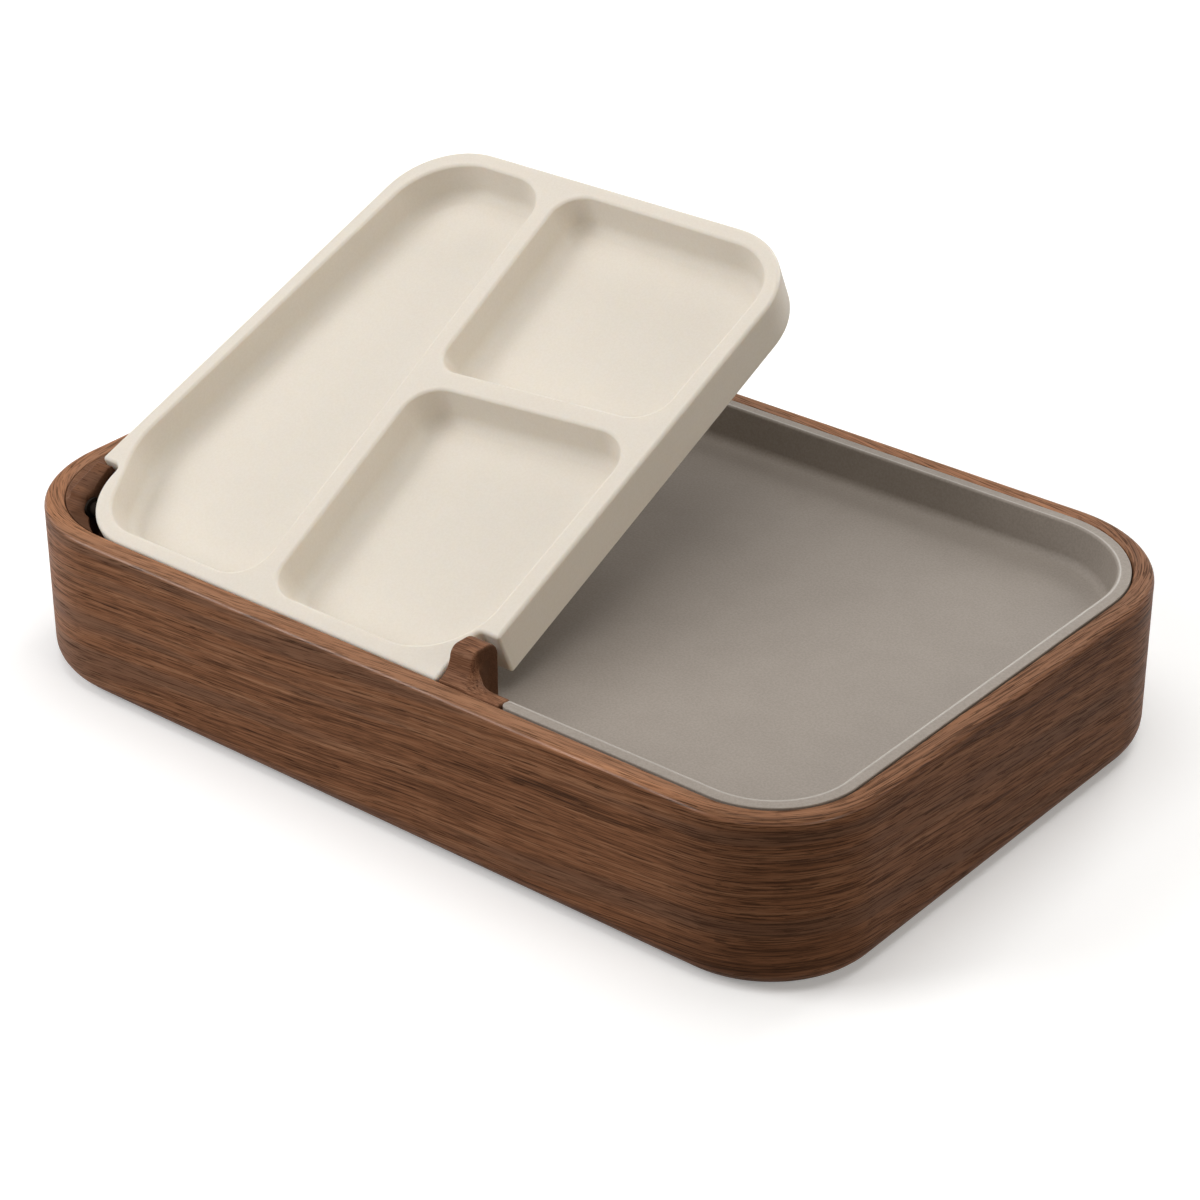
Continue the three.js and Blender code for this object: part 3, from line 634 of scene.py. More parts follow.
def moulded(name, main, shade, grit, depth, roughness, gloss=0.3, edge=None, haze=0.0):
    """Matte moulding with faint clouding and a fine grit, glossier on the edges just below a plane,
    where a light colour is painted on as a highlight.

    Haze is the share of light that spreads under the surface."""
    tones = bpy.context.scene.tray_finishes
    material, nodes = new_finish(name)
    place = nodes.node("ShaderNodeTexCoord", {}, {}, "Object")
    cloud = nodes.noise(place, detail=4.0, roughness=0.6, scale=CLOUDS)
    speck = nodes.noise(place, detail=2.0, roughness=0.6, scale=grit)
    tint = nodes.step(cloud, *CLOUD_LEVELS) * CLOUD_SHARE + nodes.step(speck, *GRIT_LEVELS) * GRIT_SHARE
    sockets = {
        "Base Color": nodes.mix(tint, full(main), full(shade)),
        "Roughness": roughness + speck * 0.12,
        "Specular IOR Level": gloss,
        "Normal": nodes.bump(speck, strength=0.35, distance=depth),
        "Subsurface Weight": haze,
        "Subsurface Radius": HAZE_RADIUS,
        "Subsurface Scale": HAZE_SCALE,
    }
    if edge:
        normal, level, radius = edge
        parts = {0: place, 1: normal}
        up = nodes.node("ShaderNodeVectorMath", {"operation": "DOT_PRODUCT"}, parts, "Value")
        # Painted highlight along the edge: a light colour, together with a gloss coat
        edge_painted_light_and_gloss = nodes.ridge(up, level - radius, level)
        sockets["Base Color"] = nodes.mix(edge_painted_light_and_gloss * tones.painted_edge_light, sockets["Base Color"], full(tones.edge_painted_light_and_gloss))
        sockets["Coat Weight"] = edge_painted_light_and_gloss * tones.wear_gloss
        sockets["Coat Roughness"] = COAT_ROUGHNESS
    return end_finish(material, nodes, sockets)


def brushed_steel():
    """Satin steel with fine lines along X."""
    tones = bpy.context.scene.tray_finishes
    material, nodes = new_finish("satin_steel")
    place = nodes.split(nodes.node("ShaderNodeTexCoord", {}, {}, "Object"))
    drawn = [axis * count for axis, count in zip(place, STEEL_LINES)]
    lines = nodes.noise(nodes.join(*drawn), detail=1.0)
    sockets = {
        "Base Color": full(tones.steel),
        "Metallic": 1.0,
        "Roughness": 0.24 + lines * 0.18,
    }
    return end_finish(material, nodes, sockets)


def rounded_outline(corners, inset):
    """Points of a polygon with rounded corners, moved inwards by inset. Corners run anticlockwise."""
    count = len(corners)
    edges = []
    for i, (x, y, _) in enumerate(corners):
        next_x, next_y, _ = corners[(i + 1) % count]
        along = Vector((next_x - x, next_y - y)).normalized()
        inward = Vector((-along.y, along.x))
        edges.append((along, Vector((x, y)) + inward * inset))
    points = []
    for i, (_, _, radius) in enumerate(corners):
        before, before_start = edges[i - 1]
        after, after_start = edges[i]
        turn = before.cross(after)
        reach = (after_start - before_start).cross(after) / turn
        vertex = before_start + before * reach
        side = math.copysign(1.0, turn)
        arc_radius = max(radius - side * inset, SHARPEST_CORNER)
        half = math.atan2(abs(turn), 1.0 + before.dot(after))
        first = vertex - before * (arc_radius * math.tan(half))
        centre = first + Vector((-before.y, before.x)) * (side * arc_radius)
        steps = CORNER_STEPS if radius > FINE_CORNER else NOTCH_STEPS
        for k in range(steps + 1):
            turned = Matrix.Rotation(side * 2.0 * half * k / steps, 2) @ (first - centre)
            points.append(centre + turned)
    return points


def arc(inset, height, radius, start, stop):
    """Points of a round in a profile, from one angle to another in degrees."""
    points = []
    for k in range(FILLET_STEPS + 1):
        turn = math.radians(start + (stop - start) * k / FILLET_STEPS)
        points.append((inset + radius * math.cos(turn), height + radius * math.sin(turn)))
    return points


def new_piece(name, vertices, faces, edges=()):
    """A mesh object at the origin."""
    mesh = bpy.data.meshes.new(name)
    mesh.from_pydata(vertices, edges, faces)
    piece = bpy.data.objects.new(name, mesh)
    bpy.context.scene.collection.objects.link(piece)
    return piece


def loft(name, corners, profile):
    """A closed body through one ring for each inset and height of a profile."""
    rings = []
    for inset, height in profile:
        rings.append([(*point, height) for point in rounded_outline(corners, inset)])
    size = len(rings[0])
    faces = [tuple(reversed(range(size)))]
    for low in range(0, size * (len(rings) - 1), size):
        for j in range(size):
            k = (j + 1) % size
            faces.append((low + j, low + k, low + size + k, low + size + j))
    top = size * (len(rings) - 1)
    faces.append(tuple(range(top, top + size)))
    return new_piece(name, [point for ring in rings for point in ring], faces)


def block(name, low, high):
    """A plain box, used to cut or to join."""
    rows = [(y, z) for z in (low[2], high[2]) for y in (low[1], high[1])]
    corners = [(x, y, z) for y, z in rows for x in (low[0], high[0])]
    faces = [(0, 2, 3, 1), (4, 5, 7, 6), (0, 1, 5, 4), (1, 3, 7, 5), (3, 2, 6, 7), (2, 0, 4, 6)]
    return new_piece(name, corners, faces)


def rod(name, start, stop, radius):
    """A round bar between two points, used to cut or to join."""
    shape = bmesh.new()
    along = stop - start
    turn = along.to_track_quat("Z", "Y").to_matrix().to_4x4()
    place = Matrix.Translation((start + stop) / 2) @ turn
    bmesh.ops.create_cone(
        shape,
        cap_ends=True,
        segments=ROD_SIDES,
        radius1=radius,
        radius2=radius,
        depth=along.length,
        matrix=place,
    )
    piece = new_piece(name, [], [])
    shape.to_mesh(piece.data)
    shape.free()
    return piece


def settle(piece):
    """Turns a piece's modifiers into its own plain mesh."""
    graph = bpy.context.evaluated_depsgraph_get()
    mesh = bpy.data.meshes.new_from_object(piece.evaluated_get(graph))
    piece.modifiers.clear()
    spent = piece.data
    piece.data = mesh
    bpy.data.meshes.remove(spent)
    if not mesh.polygons:
        raise RuntimeError(f"{piece.name} came out empty")


def carve(piece, *others, operation="DIFFERENCE"):
    """Cuts the others out of a piece, or joins them to it, and deletes them."""
    for other in others:
        modifier = piece.modifiers.new("carve", "BOOLEAN")
        modifier.operation = operation
        modifier.solver = "EXACT"
        modifier.object = other
    settle(piece)
    for other in others:
        bpy.data.objects.remove(other)


def ease(piece, width, degrees):
    """Rounds a piece's edges over an angle."""
    bevel = piece.modifiers.new("ease", "BEVEL")
    bevel.width = width
    bevel.segments = EASE_STEPS
    bevel.limit_method = "ANGLE"
    bevel.angle_limit = math.radians(degrees)
    settle(piece)


def soften(piece, degrees):
    """Smooth shading that keeps flat faces flat and edges over an angle sharp."""
    piece.data.shade_smooth()
    piece.data.set_sharp_from_angle(angle=math.radians(degrees))
    modifier = piece.modifiers.new("weigh", "WEIGHTED_NORMAL")
    modifier.keep_sharp = True
    settle(piece)


def dress(piece, material):
    """Gives a piece one material."""
    piece.data.materials.clear()
    piece.data.materials.append(material)


def place_on(piece, body, slot, *nodes):
    """Ties a finished piece to its body and hides the solids that it stands for. The slot is not used.
    """
    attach(piece, body)
    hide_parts(*nodes)


def new_tree(name, inputs):
    """A geometry tree with named inputs. Returns its nodes, its input wires and their identifiers."""
    tree = bpy.data.node_groups.new(name, "GeometryNodeTree")
    tree.interface.new_socket("Geometry", in_out="INPUT", socket_type="NodeSocketGeometry")
    names = {}
    for label, kind in inputs.items():
        names[label] = tree.interface.new_socket(label, in_out="INPUT", socket_type=kind).identifier
    tree.interface.new_socket("Geometry", in_out="OUTPUT", socket_type="NodeSocketGeometry")
    nodes = Nodes(tree)
    source = nodes.node("NodeGroupInput")
    wires = {label: source.output(label) for label in ["Geometry", *inputs]}
    return nodes, wires, names


def end_tree(nodes, geometry, material):
    """Ends a geometry tree in plain faces with one material."""
    real = nodes.node("GeometryNodeRealizeInstances", {}, {"Geometry": geometry})
    dressed = nodes.node("GeometryNodeSetMaterial", {}, {"Geometry": real, "Material": material})
    nodes.node("NodeGroupOutput", {}, {"Geometry": dressed})


def grow(piece, nodes, names, values):
    """Runs a geometry tree on a piece and keeps the result as its mesh."""
    modifier = piece.modifiers.new("grow", "NODES")
    modifier.node_group = nodes.tree
    for label, value in values.items():
        modifier[names[label]] = value
    settle(piece)
    bpy.data.node_groups.remove(nodes.tree)


def well_profile(edge, top, depth, draft, rim_round, floor_round):
    """Insets and heights from a rounded rim down a leaning wall to a flat floor."""
    lean = math.degrees(draft)
    rim_inset = edge - rim_round * (1.0 - math.sin(draft)) / math.cos(draft)
    floor_inset = edge + (depth - floor_round) * math.tan(draft) + floor_round / math.cos(draft)
    rim = arc(rim_inset, top - rim_round, rim_round, 90.0, lean)
    floor = arc(floor_inset, top - depth + floor_round, floor_round, 180.0 + lean, 270.0)
    return rim + floor


def band_corners():
    """Plan of the base's outside."""
    sizes = bpy.context.scene.tray_base
    x = sizes.length / 2
    y = sizes.width / 2
    radius = sizes.corner
    return [(x, -y, sizes.near_corner), (x, y, radius), (-x, y, radius), (-x, -y, radius)]


def build_band():
    """Sweeps the band's section round its plan, and stores how the grain runs."""
    sizes = bpy.context.scene.tray_base
    section = [
        (0.0, sizes.foot, sizes.bottom_round),
        (0.0, sizes.rim, sizes.top_round),
        (sizes.rim_width, sizes.rim, sizes.inner_round),
        (sizes.rim_width, sizes.shoulder, 0.0),
        (sizes.lower_wall, sizes.shoulder, 0.0),
        (sizes.lower_wall, sizes.cleat_top, 0.0),
        (sizes.cleat, sizes.cleat_top, 0.0),
        (sizes.cleat, sizes.rabbet_top, 0.0),
        (sizes.rabbet, sizes.rabbet_top, 0.0),
        (sizes.rabbet, sizes.foot, 0.0),
    ]
    count = len(section)
    points = [(-inset, -height, 0.0) for inset, height, _ in section]
    edges = [(i, (i + 1) % count) for i in range(count)]
    piece = new_piece("walnut_band", points, [], edges)
    rounds = piece.data.attributes.new("round", "FLOAT", "POINT")
    rounds.data.foreach_set("value", [corner[2] for corner in section])

    values = {
        "Length": sizes.length,
        "Width": sizes.width,
        "Corner": sizes.corner,
        "Near Corner": sizes.near_corner,
    }
    nodes, wires, names = new_tree("Swept band", dict.fromkeys(values, "NodeSocketFloat"))
    poly = {"mode": "POLY"}
    outline = nodes.node("GeometryNodeMeshToCurve", {}, {"Mesh": wires["Geometry"]})
    fillet = {"Curve": outline, "Count": FILLET_STEPS, "Radius": nodes.named("round")}
    outline = nodes.node("GeometryNodeFilletCurve", poly, fillet)
    spline = nodes.node("GeometryNodeSplineParameter")
    outline = nodes.store(outline, "across", spline.output("Length"))

    plan = {"Width": wires["Length"], "Height": wires["Width"]}
    path = nodes.node("GeometryNodeCurvePrimitiveQuadrilateral", {"mode": "RECTANGLE"}, plan)
    x, y, _ = nodes.split(nodes.node("GeometryNodeInputPosition"))
    near = x.maths("GREATER_THAN") * y.maths("LESS_THAN")
    corner = wires["Corner"] + near * (wires["Near Corner"] - wires["Corner"])
    fillet = {"Curve": path, "Count": CORNER_STEPS, "Radius": corner}
    path = nodes.node("GeometryNodeFilletCurve", poly, fillet)
    path = nodes.node("GeometryNodeSetCurveNormal", {"mode": "Z_UP"}, {"Curve": path})
    turn = spline.output("Factor") * math.tau
    radius = nodes.node("GeometryNodeSplineLength") / math.tau
    circle = nodes.join(turn.maths("COSINE") * radius, turn.maths("SINE") * radius, 0.0)
    path = nodes.store(path, "around", circle, "FLOAT_VECTOR")

    swept = nodes.node("GeometryNodeCurveToMesh", {}, {"Curve": path, "Profile Curve": outline})
    x, y, _ = nodes.split(nodes.named("around", "FLOAT_VECTOR"))
    grain = nodes.join(x, y, nodes.named("across"))
    swept = nodes.store(swept, "grain", grain, "FLOAT_VECTOR")
    end_tree(nodes, swept, walnut("walnut_wrapped", True))
    grow(piece, nodes, names, values)
    face_out(piece)
    soften(piece, SHARP)
    return piece


def post_backs():
    """Right side and back of each lug's post."""
    sizes = bpy.context.scene.tray_lugs
    low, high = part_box("hinge_lug_right")
    return [(low.x + sizes.right_width, high.y), (sizes.left_end, sizes.left_back)]


def build_inlay():
    """A shallow pan with a rolled lip, cut away where the hinge stands."""
    base = bpy.context.scene.tray_base
    sizes = bpy.context.scene.tray_inlay
    top = base.rim + sizes.rise
    outer = base.rim_width + sizes.gap
    inner = outer + sizes.lip_width
    depth = top - sizes.floor
    foot = inner + depth * math.tan(sizes.draft)
    under = top - sizes.lip_thickness
    well = well_profile(
        inner, top + sizes.bead, depth + sizes.bead, sizes.draft, sizes.inner_round, sizes.floor_round
    )
    profile = [
        (foot - sizes.wall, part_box("inlay")[0].z),
        (inner - sizes.wall, under),
        (outer, under),
        *arc(outer + sizes.outer_round, top - sizes.outer_round, sizes.outer_round, 180.0, 90.0),
        (well[0][0] - sizes.bead_width, top),
        *well,
    ]
    piece = loft("grey_inlay", band_corners(), profile)
    far_x = -base.length
    far_y = -base.width
    tall = 2.0 * base.rim
    slots = [(sizes.slot_right, sizes.slot_back)]
    for right, back in post_backs():
        slots.append((right + sizes.lug_clearance, back + sizes.lug_clearance))
    cuts = [block("slot", (far_x, far_y, 0.0), (right, back, tall)) for right, back in slots]
    nose_radius = sizes.lip_width / 2
    nose_x = sizes.nose + nose_radius
    nose_y = -base.width / 2 + (outer + inner) / 2
    free = block("free", (far_x, far_y, 0.0), (nose_x, sizes.lip_end, tall))
    kept = [(sizes.slot_inset, -tall), (sizes.slot_inset, 2.0 * tall)]
    inside = loft("inside", band_corners(), kept)
    nose_low = Vector((nose_x, nose_y, -tall))
    nose_high = Vector((nose_x, nose_y, 2.0 * tall))
    nose = rod("nose", nose_low, nose_high, nose_radius)
    carve(free, inside, nose)
    carve(piece, free, *cuts)
    ease(piece, sizes.outer_round / 2, INLAY_EASE)
    soften(piece, SHARP)
    return piece


def tray_underside():
    """Space under the divided tray between its skirt and the compartments."""
    sizes = bpy.context.scene.tray_moulding
    below = -2.0 * sizes.thickness
    profile = [
        (sizes.skin, below),
        (sizes.skin, -sizes.thickness),
        (sizes.skin + sizes.skirt_draft, -sizes.web),
    ]
    space = loft("underside", TRAY_PLAN, profile)
    edge = -sizes.skin / math.cos(sizes.draft)
    depth = sizes.pocket_depth + sizes.skin
    bowl = well_profile(edge, 0.0, depth, sizes.draft, 0.0, sizes.pocket_floor + sizes.skin)
    bowl.reverse()
    solid = [loft("bowl", pocket, bowl) for pocket in POCKETS]
    deep = 2.0 * sizes.pivot_setback
    bosses = [(TRAY_RIGHT - sizes.boss_right, TRAY_RIGHT), (TRAY_LEFT, TRAY_LEFT + sizes.boss_left)]
    for start, stop in bosses:
        solid.append(block("boss", (start, -sizes.skin, below), (stop, deep, 0.0)))
    carve(space, *solid)
    return space


def build_divided_tray():
    """One moulding with three compartments, hollow below, in its place on the hinge."""
    sizes = bpy.context.scene.tray_moulding
    profile = [
        *arc(sizes.foot_round, sizes.foot_round - sizes.thickness, sizes.foot_round, 270.0, 180.0),
        *arc(sizes.edge_round, -sizes.edge_round, sizes.edge_round, 180.0, 90.0),
    ]
    piece = loft("divided_tray_moulding", TRAY_PLAN, profile)
    cutters = [tray_underside()]
    well = well_profile(0.0, 0.0, sizes.pocket_depth, sizes.draft, sizes.pocket_rim, sizes.pocket_floor)
    rim_inset = well[0][0]
    well = [*reversed(well), (rim_inset, sizes.pocket_rim)]
    for pocket in POCKETS:
        cutters.append(loft("pocket", pocket, well))
    bores = [
        (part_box("pivot_bush_right")[0].x - sizes.bore_gap, TRAY_RIGHT + sizes.skin),
        (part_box("pivot_bush_left")[1].x + sizes.bore_gap, TRAY_LEFT - sizes.skin),
    ]
    for inner, outer in bores:
        start = Vector((inner, sizes.pivot_setback, -sizes.pivot_depth))
        stop = Vector((outer, sizes.pivot_setback, -sizes.pivot_depth))
        cutters.append(rod("bore", start, stop, sizes.bore))
    carve(piece, *cutters)
    to_pivot = Matrix.Translation((0.0, -sizes.pivot_setback, sizes.pivot_depth))
    hinge_line = Matrix.Translation((0.0, PIVOT.y, PIVOT.z))
    piece.data.transform(hinge_line @ Matrix.Rotation(TILT, 4, "X") @ to_pivot)
    soften(piece, TRAY_SHARP)
    return piece


def span(*wires):
    """Length of a vector given by its parts."""
    total = wires[0] * wires[0]
    for wire in wires[1:]:
        total = total + wire * wire
    return total.root()


def inside_of(*wires):
    """Distance to the body that lies inside all of several boundaries, with rounded corners kept."""
    most = wires[0]
    for wire in wires[1:]:
        most = most.most(wire)
    return span(*[wire.most(0.0) for wire in wires]) + most.least(0.0)


def between(wire, low, high, edge=0.0):
    """Distance outside a pair of parallel planes, drawn in by an edge radius."""
    return abs(wire - (low + high) / 2) - ((high - low) / 2 - edge)


def blended(first, second, reach):
    """Joins two distances with a hollow between them."""
    near = (reach - abs(first - second)).most(0.0) / reach
    return first.least(second) - near * near * (reach / 4)


def post_distance(point, low, high):
    """Distance to a post with rounded top corners and eased edges."""
    sizes = bpy.context.scene.tray_lugs
    x, y, z = point
    behind = y.maths("GREATER_THAN", (low.y + high.y) / 2)
    corner = behind * (sizes.back_round - sizes.front_round) + sizes.front_round
    side = inside_of(between(y, low.y, high.y) + corner, (z - high.z) + corner) - corner
    return inside_of(between(x, low.x, high.x, sizes.edge), side + sizes.edge) - sizes.edge


def bore_distance(point, low_x, high_x):
    """Distance to the hole for a pin on the hinge line."""
    x, y, z = point
    bore = bpy.context.scene.tray_lugs.bore
    return inside_of(span(y - PIVOT.y, z - PIVOT.z) - bore, between(x, low_x, high_x))


def right_lug_distance(point):
    """Post and straight ledge on the right of the divided tray."""
    sizes = bpy.context.scene.tray_lugs
    low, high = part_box("hinge_lug_right")
    x, y, z = point
    post_low = Vector((low.x, sizes.right_front, low.z))
    post = post_distance(point, post_low, Vector((low.x + sizes.right_width, high.y, high.z)))
    rim = bpy.context.scene.tray_base.rim
    edge = sizes.ledge_edge
    ledge = inside_of(
        between(x, low.x, high.x, edge), between(y, low.y, low.y + sizes.ledge, edge), (z - rim) + edge
    ) - edge
    lug = blended(post, ledge, sizes.blend)
    inlay = bpy.context.scene.tray_inlay
    clear_y = -bpy.context.scene.tray_base.width / 2 + inlay.slot_inset - 2.0 * sizes.fit
    beside = (low.x + sizes.right_width + sizes.fit - x).most(clear_y - y)
    for limit in (low.x - x, low.y - y, low.z - z, -beside):
        lug = lug.most(limit)
    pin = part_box("hinge_pin_right")
    return lug.most(-bore_distance(point, low.x - sizes.edge * BORE_PAST, pin[1].x + sizes.fit))


def left_lug_distance(point):
    """Post and the ledge that bends round the corner on the left of the divided tray."""
    sizes = bpy.context.scene.tray_lugs
    base = bpy.context.scene.tray_base
    low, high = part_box("hinge_lug_left")
    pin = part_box("hinge_pin_left")
    x, y, z = point
    post_low = Vector((sizes.left_start, sizes.left_front, low.z))
    post_high = Vector((sizes.left_end, sizes.left_back, high.z))
    post = post_distance(point, post_low, post_high)
    moulding = bpy.context.scene.tray_moulding
    reach = span(y - PIVOT.y, z - PIVOT.z) - sizes.left_reach
    level = (y - PIVOT.y) * TRAY_NORMAL.y + (z - PIVOT.z) * TRAY_NORMAL.z
    top = level - (moulding.pivot_depth - sizes.left_sink)
    post = inside_of(post + sizes.edge, reach + sizes.edge, top + sizes.edge) - sizes.edge
    centre_x = -base.length / 2 + base.corner
    centre_y = -base.width / 2 + base.corner
    outer = base.corner - base.rim_width - sizes.fit
    from_centre = span(x - centre_x, y - centre_y)
    edge = sizes.ledge_edge
    ledge = inside_of(
        between(from_centre, outer - sizes.left_ledge, outer, edge), (z - base.rim) + edge,
        (x - high.x) + edge, (y - high.y - LEDGE_RUN) + edge,
    ) - edge
    lug = blended(post, ledge, sizes.left_blend)
    beside = (x - sizes.left_end).least(y - sizes.left_front)
    corner_x, _, corner_radius = TRAY_PLAN[-1]
    room_y = PIVOT.y - moulding.pivot_setback + corner_radius
    room = span(x - (corner_x + corner_radius), y - room_y)
    for limit in (from_centre - outer, low.z - z, (corner_radius + sizes.swing) - room, beside):
        lug = lug.most(limit)
    return lug.most(-bore_distance(point, pin[0].x - sizes.fit, post_high.x + sizes.edge * BORE_PAST))


def build_lug(name, node, distance, material, run=0.0):
    """Carves a lug out of the space that its solid takes up and a run of ledge behind it."""
    low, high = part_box(node)
    high.y += run
    margin = Vector((CARVE_MARGIN,) * 3)
    nodes, wires, names = new_tree(f"Carved {name}", {"Voxel": "NodeSocketFloat"})
    position = nodes.split(nodes.node("GeometryNodeInputPosition"))
    low -= margin
    high += margin
    counts = [math.ceil((high[i] - low[i]) / CARVE_VOXEL) for i in range(3)]
    volume = nodes.node("GeometryNodeVolumeCube", {}, {
        "Density": -distance(position) / wires["Voxel"],
        "Background": -1.0,
        "Min": low,
        "Max": high,
        "Resolution X": counts[0],
        "Resolution Y": counts[1],
        "Resolution Z": counts[2],
    })
    at_zero = {"Volume": volume, "Threshold": 0.0}
    surface = nodes.node("GeometryNodeVolumeToMesh", {"resolution_mode": "GRID"}, at_zero)
    end_tree(nodes, surface, material)
    piece = new_piece(name, [(0.0, 0.0, 0.0)], [])
    grow(piece, nodes, names, {"Voxel": CARVE_VOXEL})
    face_out(piece)
    piece.data.shade_smooth()
    return piece


def face_out(piece):
    """Merges doubles and turns a closed shell's faces outwards."""
    shape = bmesh.new()
    shape.from_mesh(piece.data)
    bmesh.ops.remove_doubles(shape, verts=shape.verts, dist=WELD)
    bmesh.ops.recalc_face_normals(shape, faces=shape.faces)
    shape.to_mesh(piece.data)
    shape.free()


def seats(names):
    """Middle of the underside of each of several solids, and the height of the first."""
    boxes = [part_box(name) for name in names]
    places = [((low.x + high.x) / 2, (low.y + high.y) / 2, low.z) for low, high in boxes]
    return places, boxes[0][1].z - boxes[0][0].z


def spread(nodes, points, shape):
    """Copies a shape to every point."""
    return nodes.node("GeometryNodeInstanceOnPoints", {}, {"Points": points, "Instance": shape})


def build_screws(material):
    """Countersunk screws with a cross recess, one at each place in the bottom panel."""
    sizes = bpy.context.scene.tray_fasteners
    places, long = seats(PANEL_SCREWS)
    piece = new_piece("panel_screws", places, [])
    values = {
        "Head": sizes.head,
        "Head Depth": sizes.head_depth,
        "Shank": sizes.shank,
        "Tip": sizes.tip,
        "Length": long,
        "Recess": sizes.recess,
        "Recess Depth": sizes.recess_depth,
    }
    nodes, wires, names = new_tree("Panel screws", dict.fromkeys(values, "NodeSocketFloat"))
    head = nodes.node("GeometryNodeMeshCone", {}, {
        "Vertices": HEAD_SIDES,
        "Radius Top": wires["Shank"],
        "Radius Bottom": wires["Head"],
        "Depth": wires["Head Depth"],
    })
    neck = wires["Head Depth"] * 0.5
    taper = wires["Shank"] * 2.0
    body = wires["Length"] - taper - neck
    slim = wires["Shank"] * SHANK_SHARE
    shank = nodes.node("GeometryNodeMeshCylinder", {}, {
        "Vertices": SHANK_SIDES,
        "Radius": slim,
        "Depth": body,
    })
    point = nodes.node("GeometryNodeMeshCone", {}, {
        "Vertices": SHANK_SIDES,
        "Radius Top": wires["Tip"],
        "Radius Bottom": slim,
        "Depth": taper,
    })
    wide = wires["Head"] * RECESS_SHARE
    deep = wires["Recess Depth"] * 2.0
    screw = head
    for size in (
        nodes.join(wires["Recess"], wide, deep),
        nodes.join(wide, wires["Recess"], deep),
    ):
        screw = nodes.difference(screw, nodes.node("GeometryNodeMeshCube", {}, {"Size": size}))
    screw = nodes.union(screw, nodes.lift(shank, neck + body * 0.5))
    screw = nodes.union(screw, nodes.lift(point, wires["Length"] - taper))
    end_tree(nodes, spread(nodes, wires["Geometry"], screw), material)
    grow(piece, nodes, names, values)
    soften(piece, SCREW_SHARP)
    return piece


def build_feet(material):
    """Soft pads with a raised tread, one at each place in the bottom panel."""
    sizes = bpy.context.scene.tray_fasteners
    places, tall = seats(FOOT_PADS)
    piece = new_piece("foot_pads", places, [])
    values = {"Pad": sizes.pad, "Tread": sizes.tread, "Rise": sizes.tread_rise, "Height": tall}
    nodes, wires, names = new_tree("Foot pads", dict.fromkeys(values, "NodeSocketFloat"))
    rise = wires["Rise"]
    disc = nodes.node("GeometryNodeMeshCylinder", {}, {
        "Vertices": PAD_SIDES,
        "Radius": wires["Pad"],
        "Depth": wires["Height"] - rise,
    })
    tread = nodes.node("GeometryNodeMeshCylinder", {}, {
        "Vertices": PAD_SIDES,
        "Radius": wires["Tread"],
        "Depth": rise * 2.0,
    })
    pad = nodes.union(nodes.lift(disc, (wires["Height"] + rise) * 0.5), nodes.lift(tread, rise))
    end_tree(nodes, spread(nodes, wires["Geometry"], pad), material)
    grow(piece, nodes, names, values)
    ease(piece, sizes.pad_round, PAD_EASE)
    soften(piece, SHARP)
    return piece


def aim(thing, place, target):
    """Puts a lamp or the camera at a place, looking at a target."""
    thing.location = place
    thing.rotation_euler = (Vector(target) - Vector(place)).to_track_quat("-Z", "Y").to_euler()


def add_lamp(name, place, size, power, tint=WHITE):
    """A square soft lamp that points at the stage's lamp target."""
    data = bpy.data.lights.new(name, "AREA")
    data.shape = "SQUARE"
    data.size = size
    data.energy = power
    data.color = tint
    lamp = bpy.data.objects.new(name, data)
    bpy.context.scene.collection.objects.link(lamp)
    aim(lamp, place, bpy.context.scene.tray_stage.lamp_target)


def seen_directly(nodes):
    """1 for rays from the camera, off gloss or through glass, 0 for light that falls on the object."""
    path = nodes.node("ShaderNodeLightPath")
    seen = path.output("Is Camera Ray").most(path.output("Is Glossy Ray"))
    return seen.most(path.output("Is Transmission Ray"))


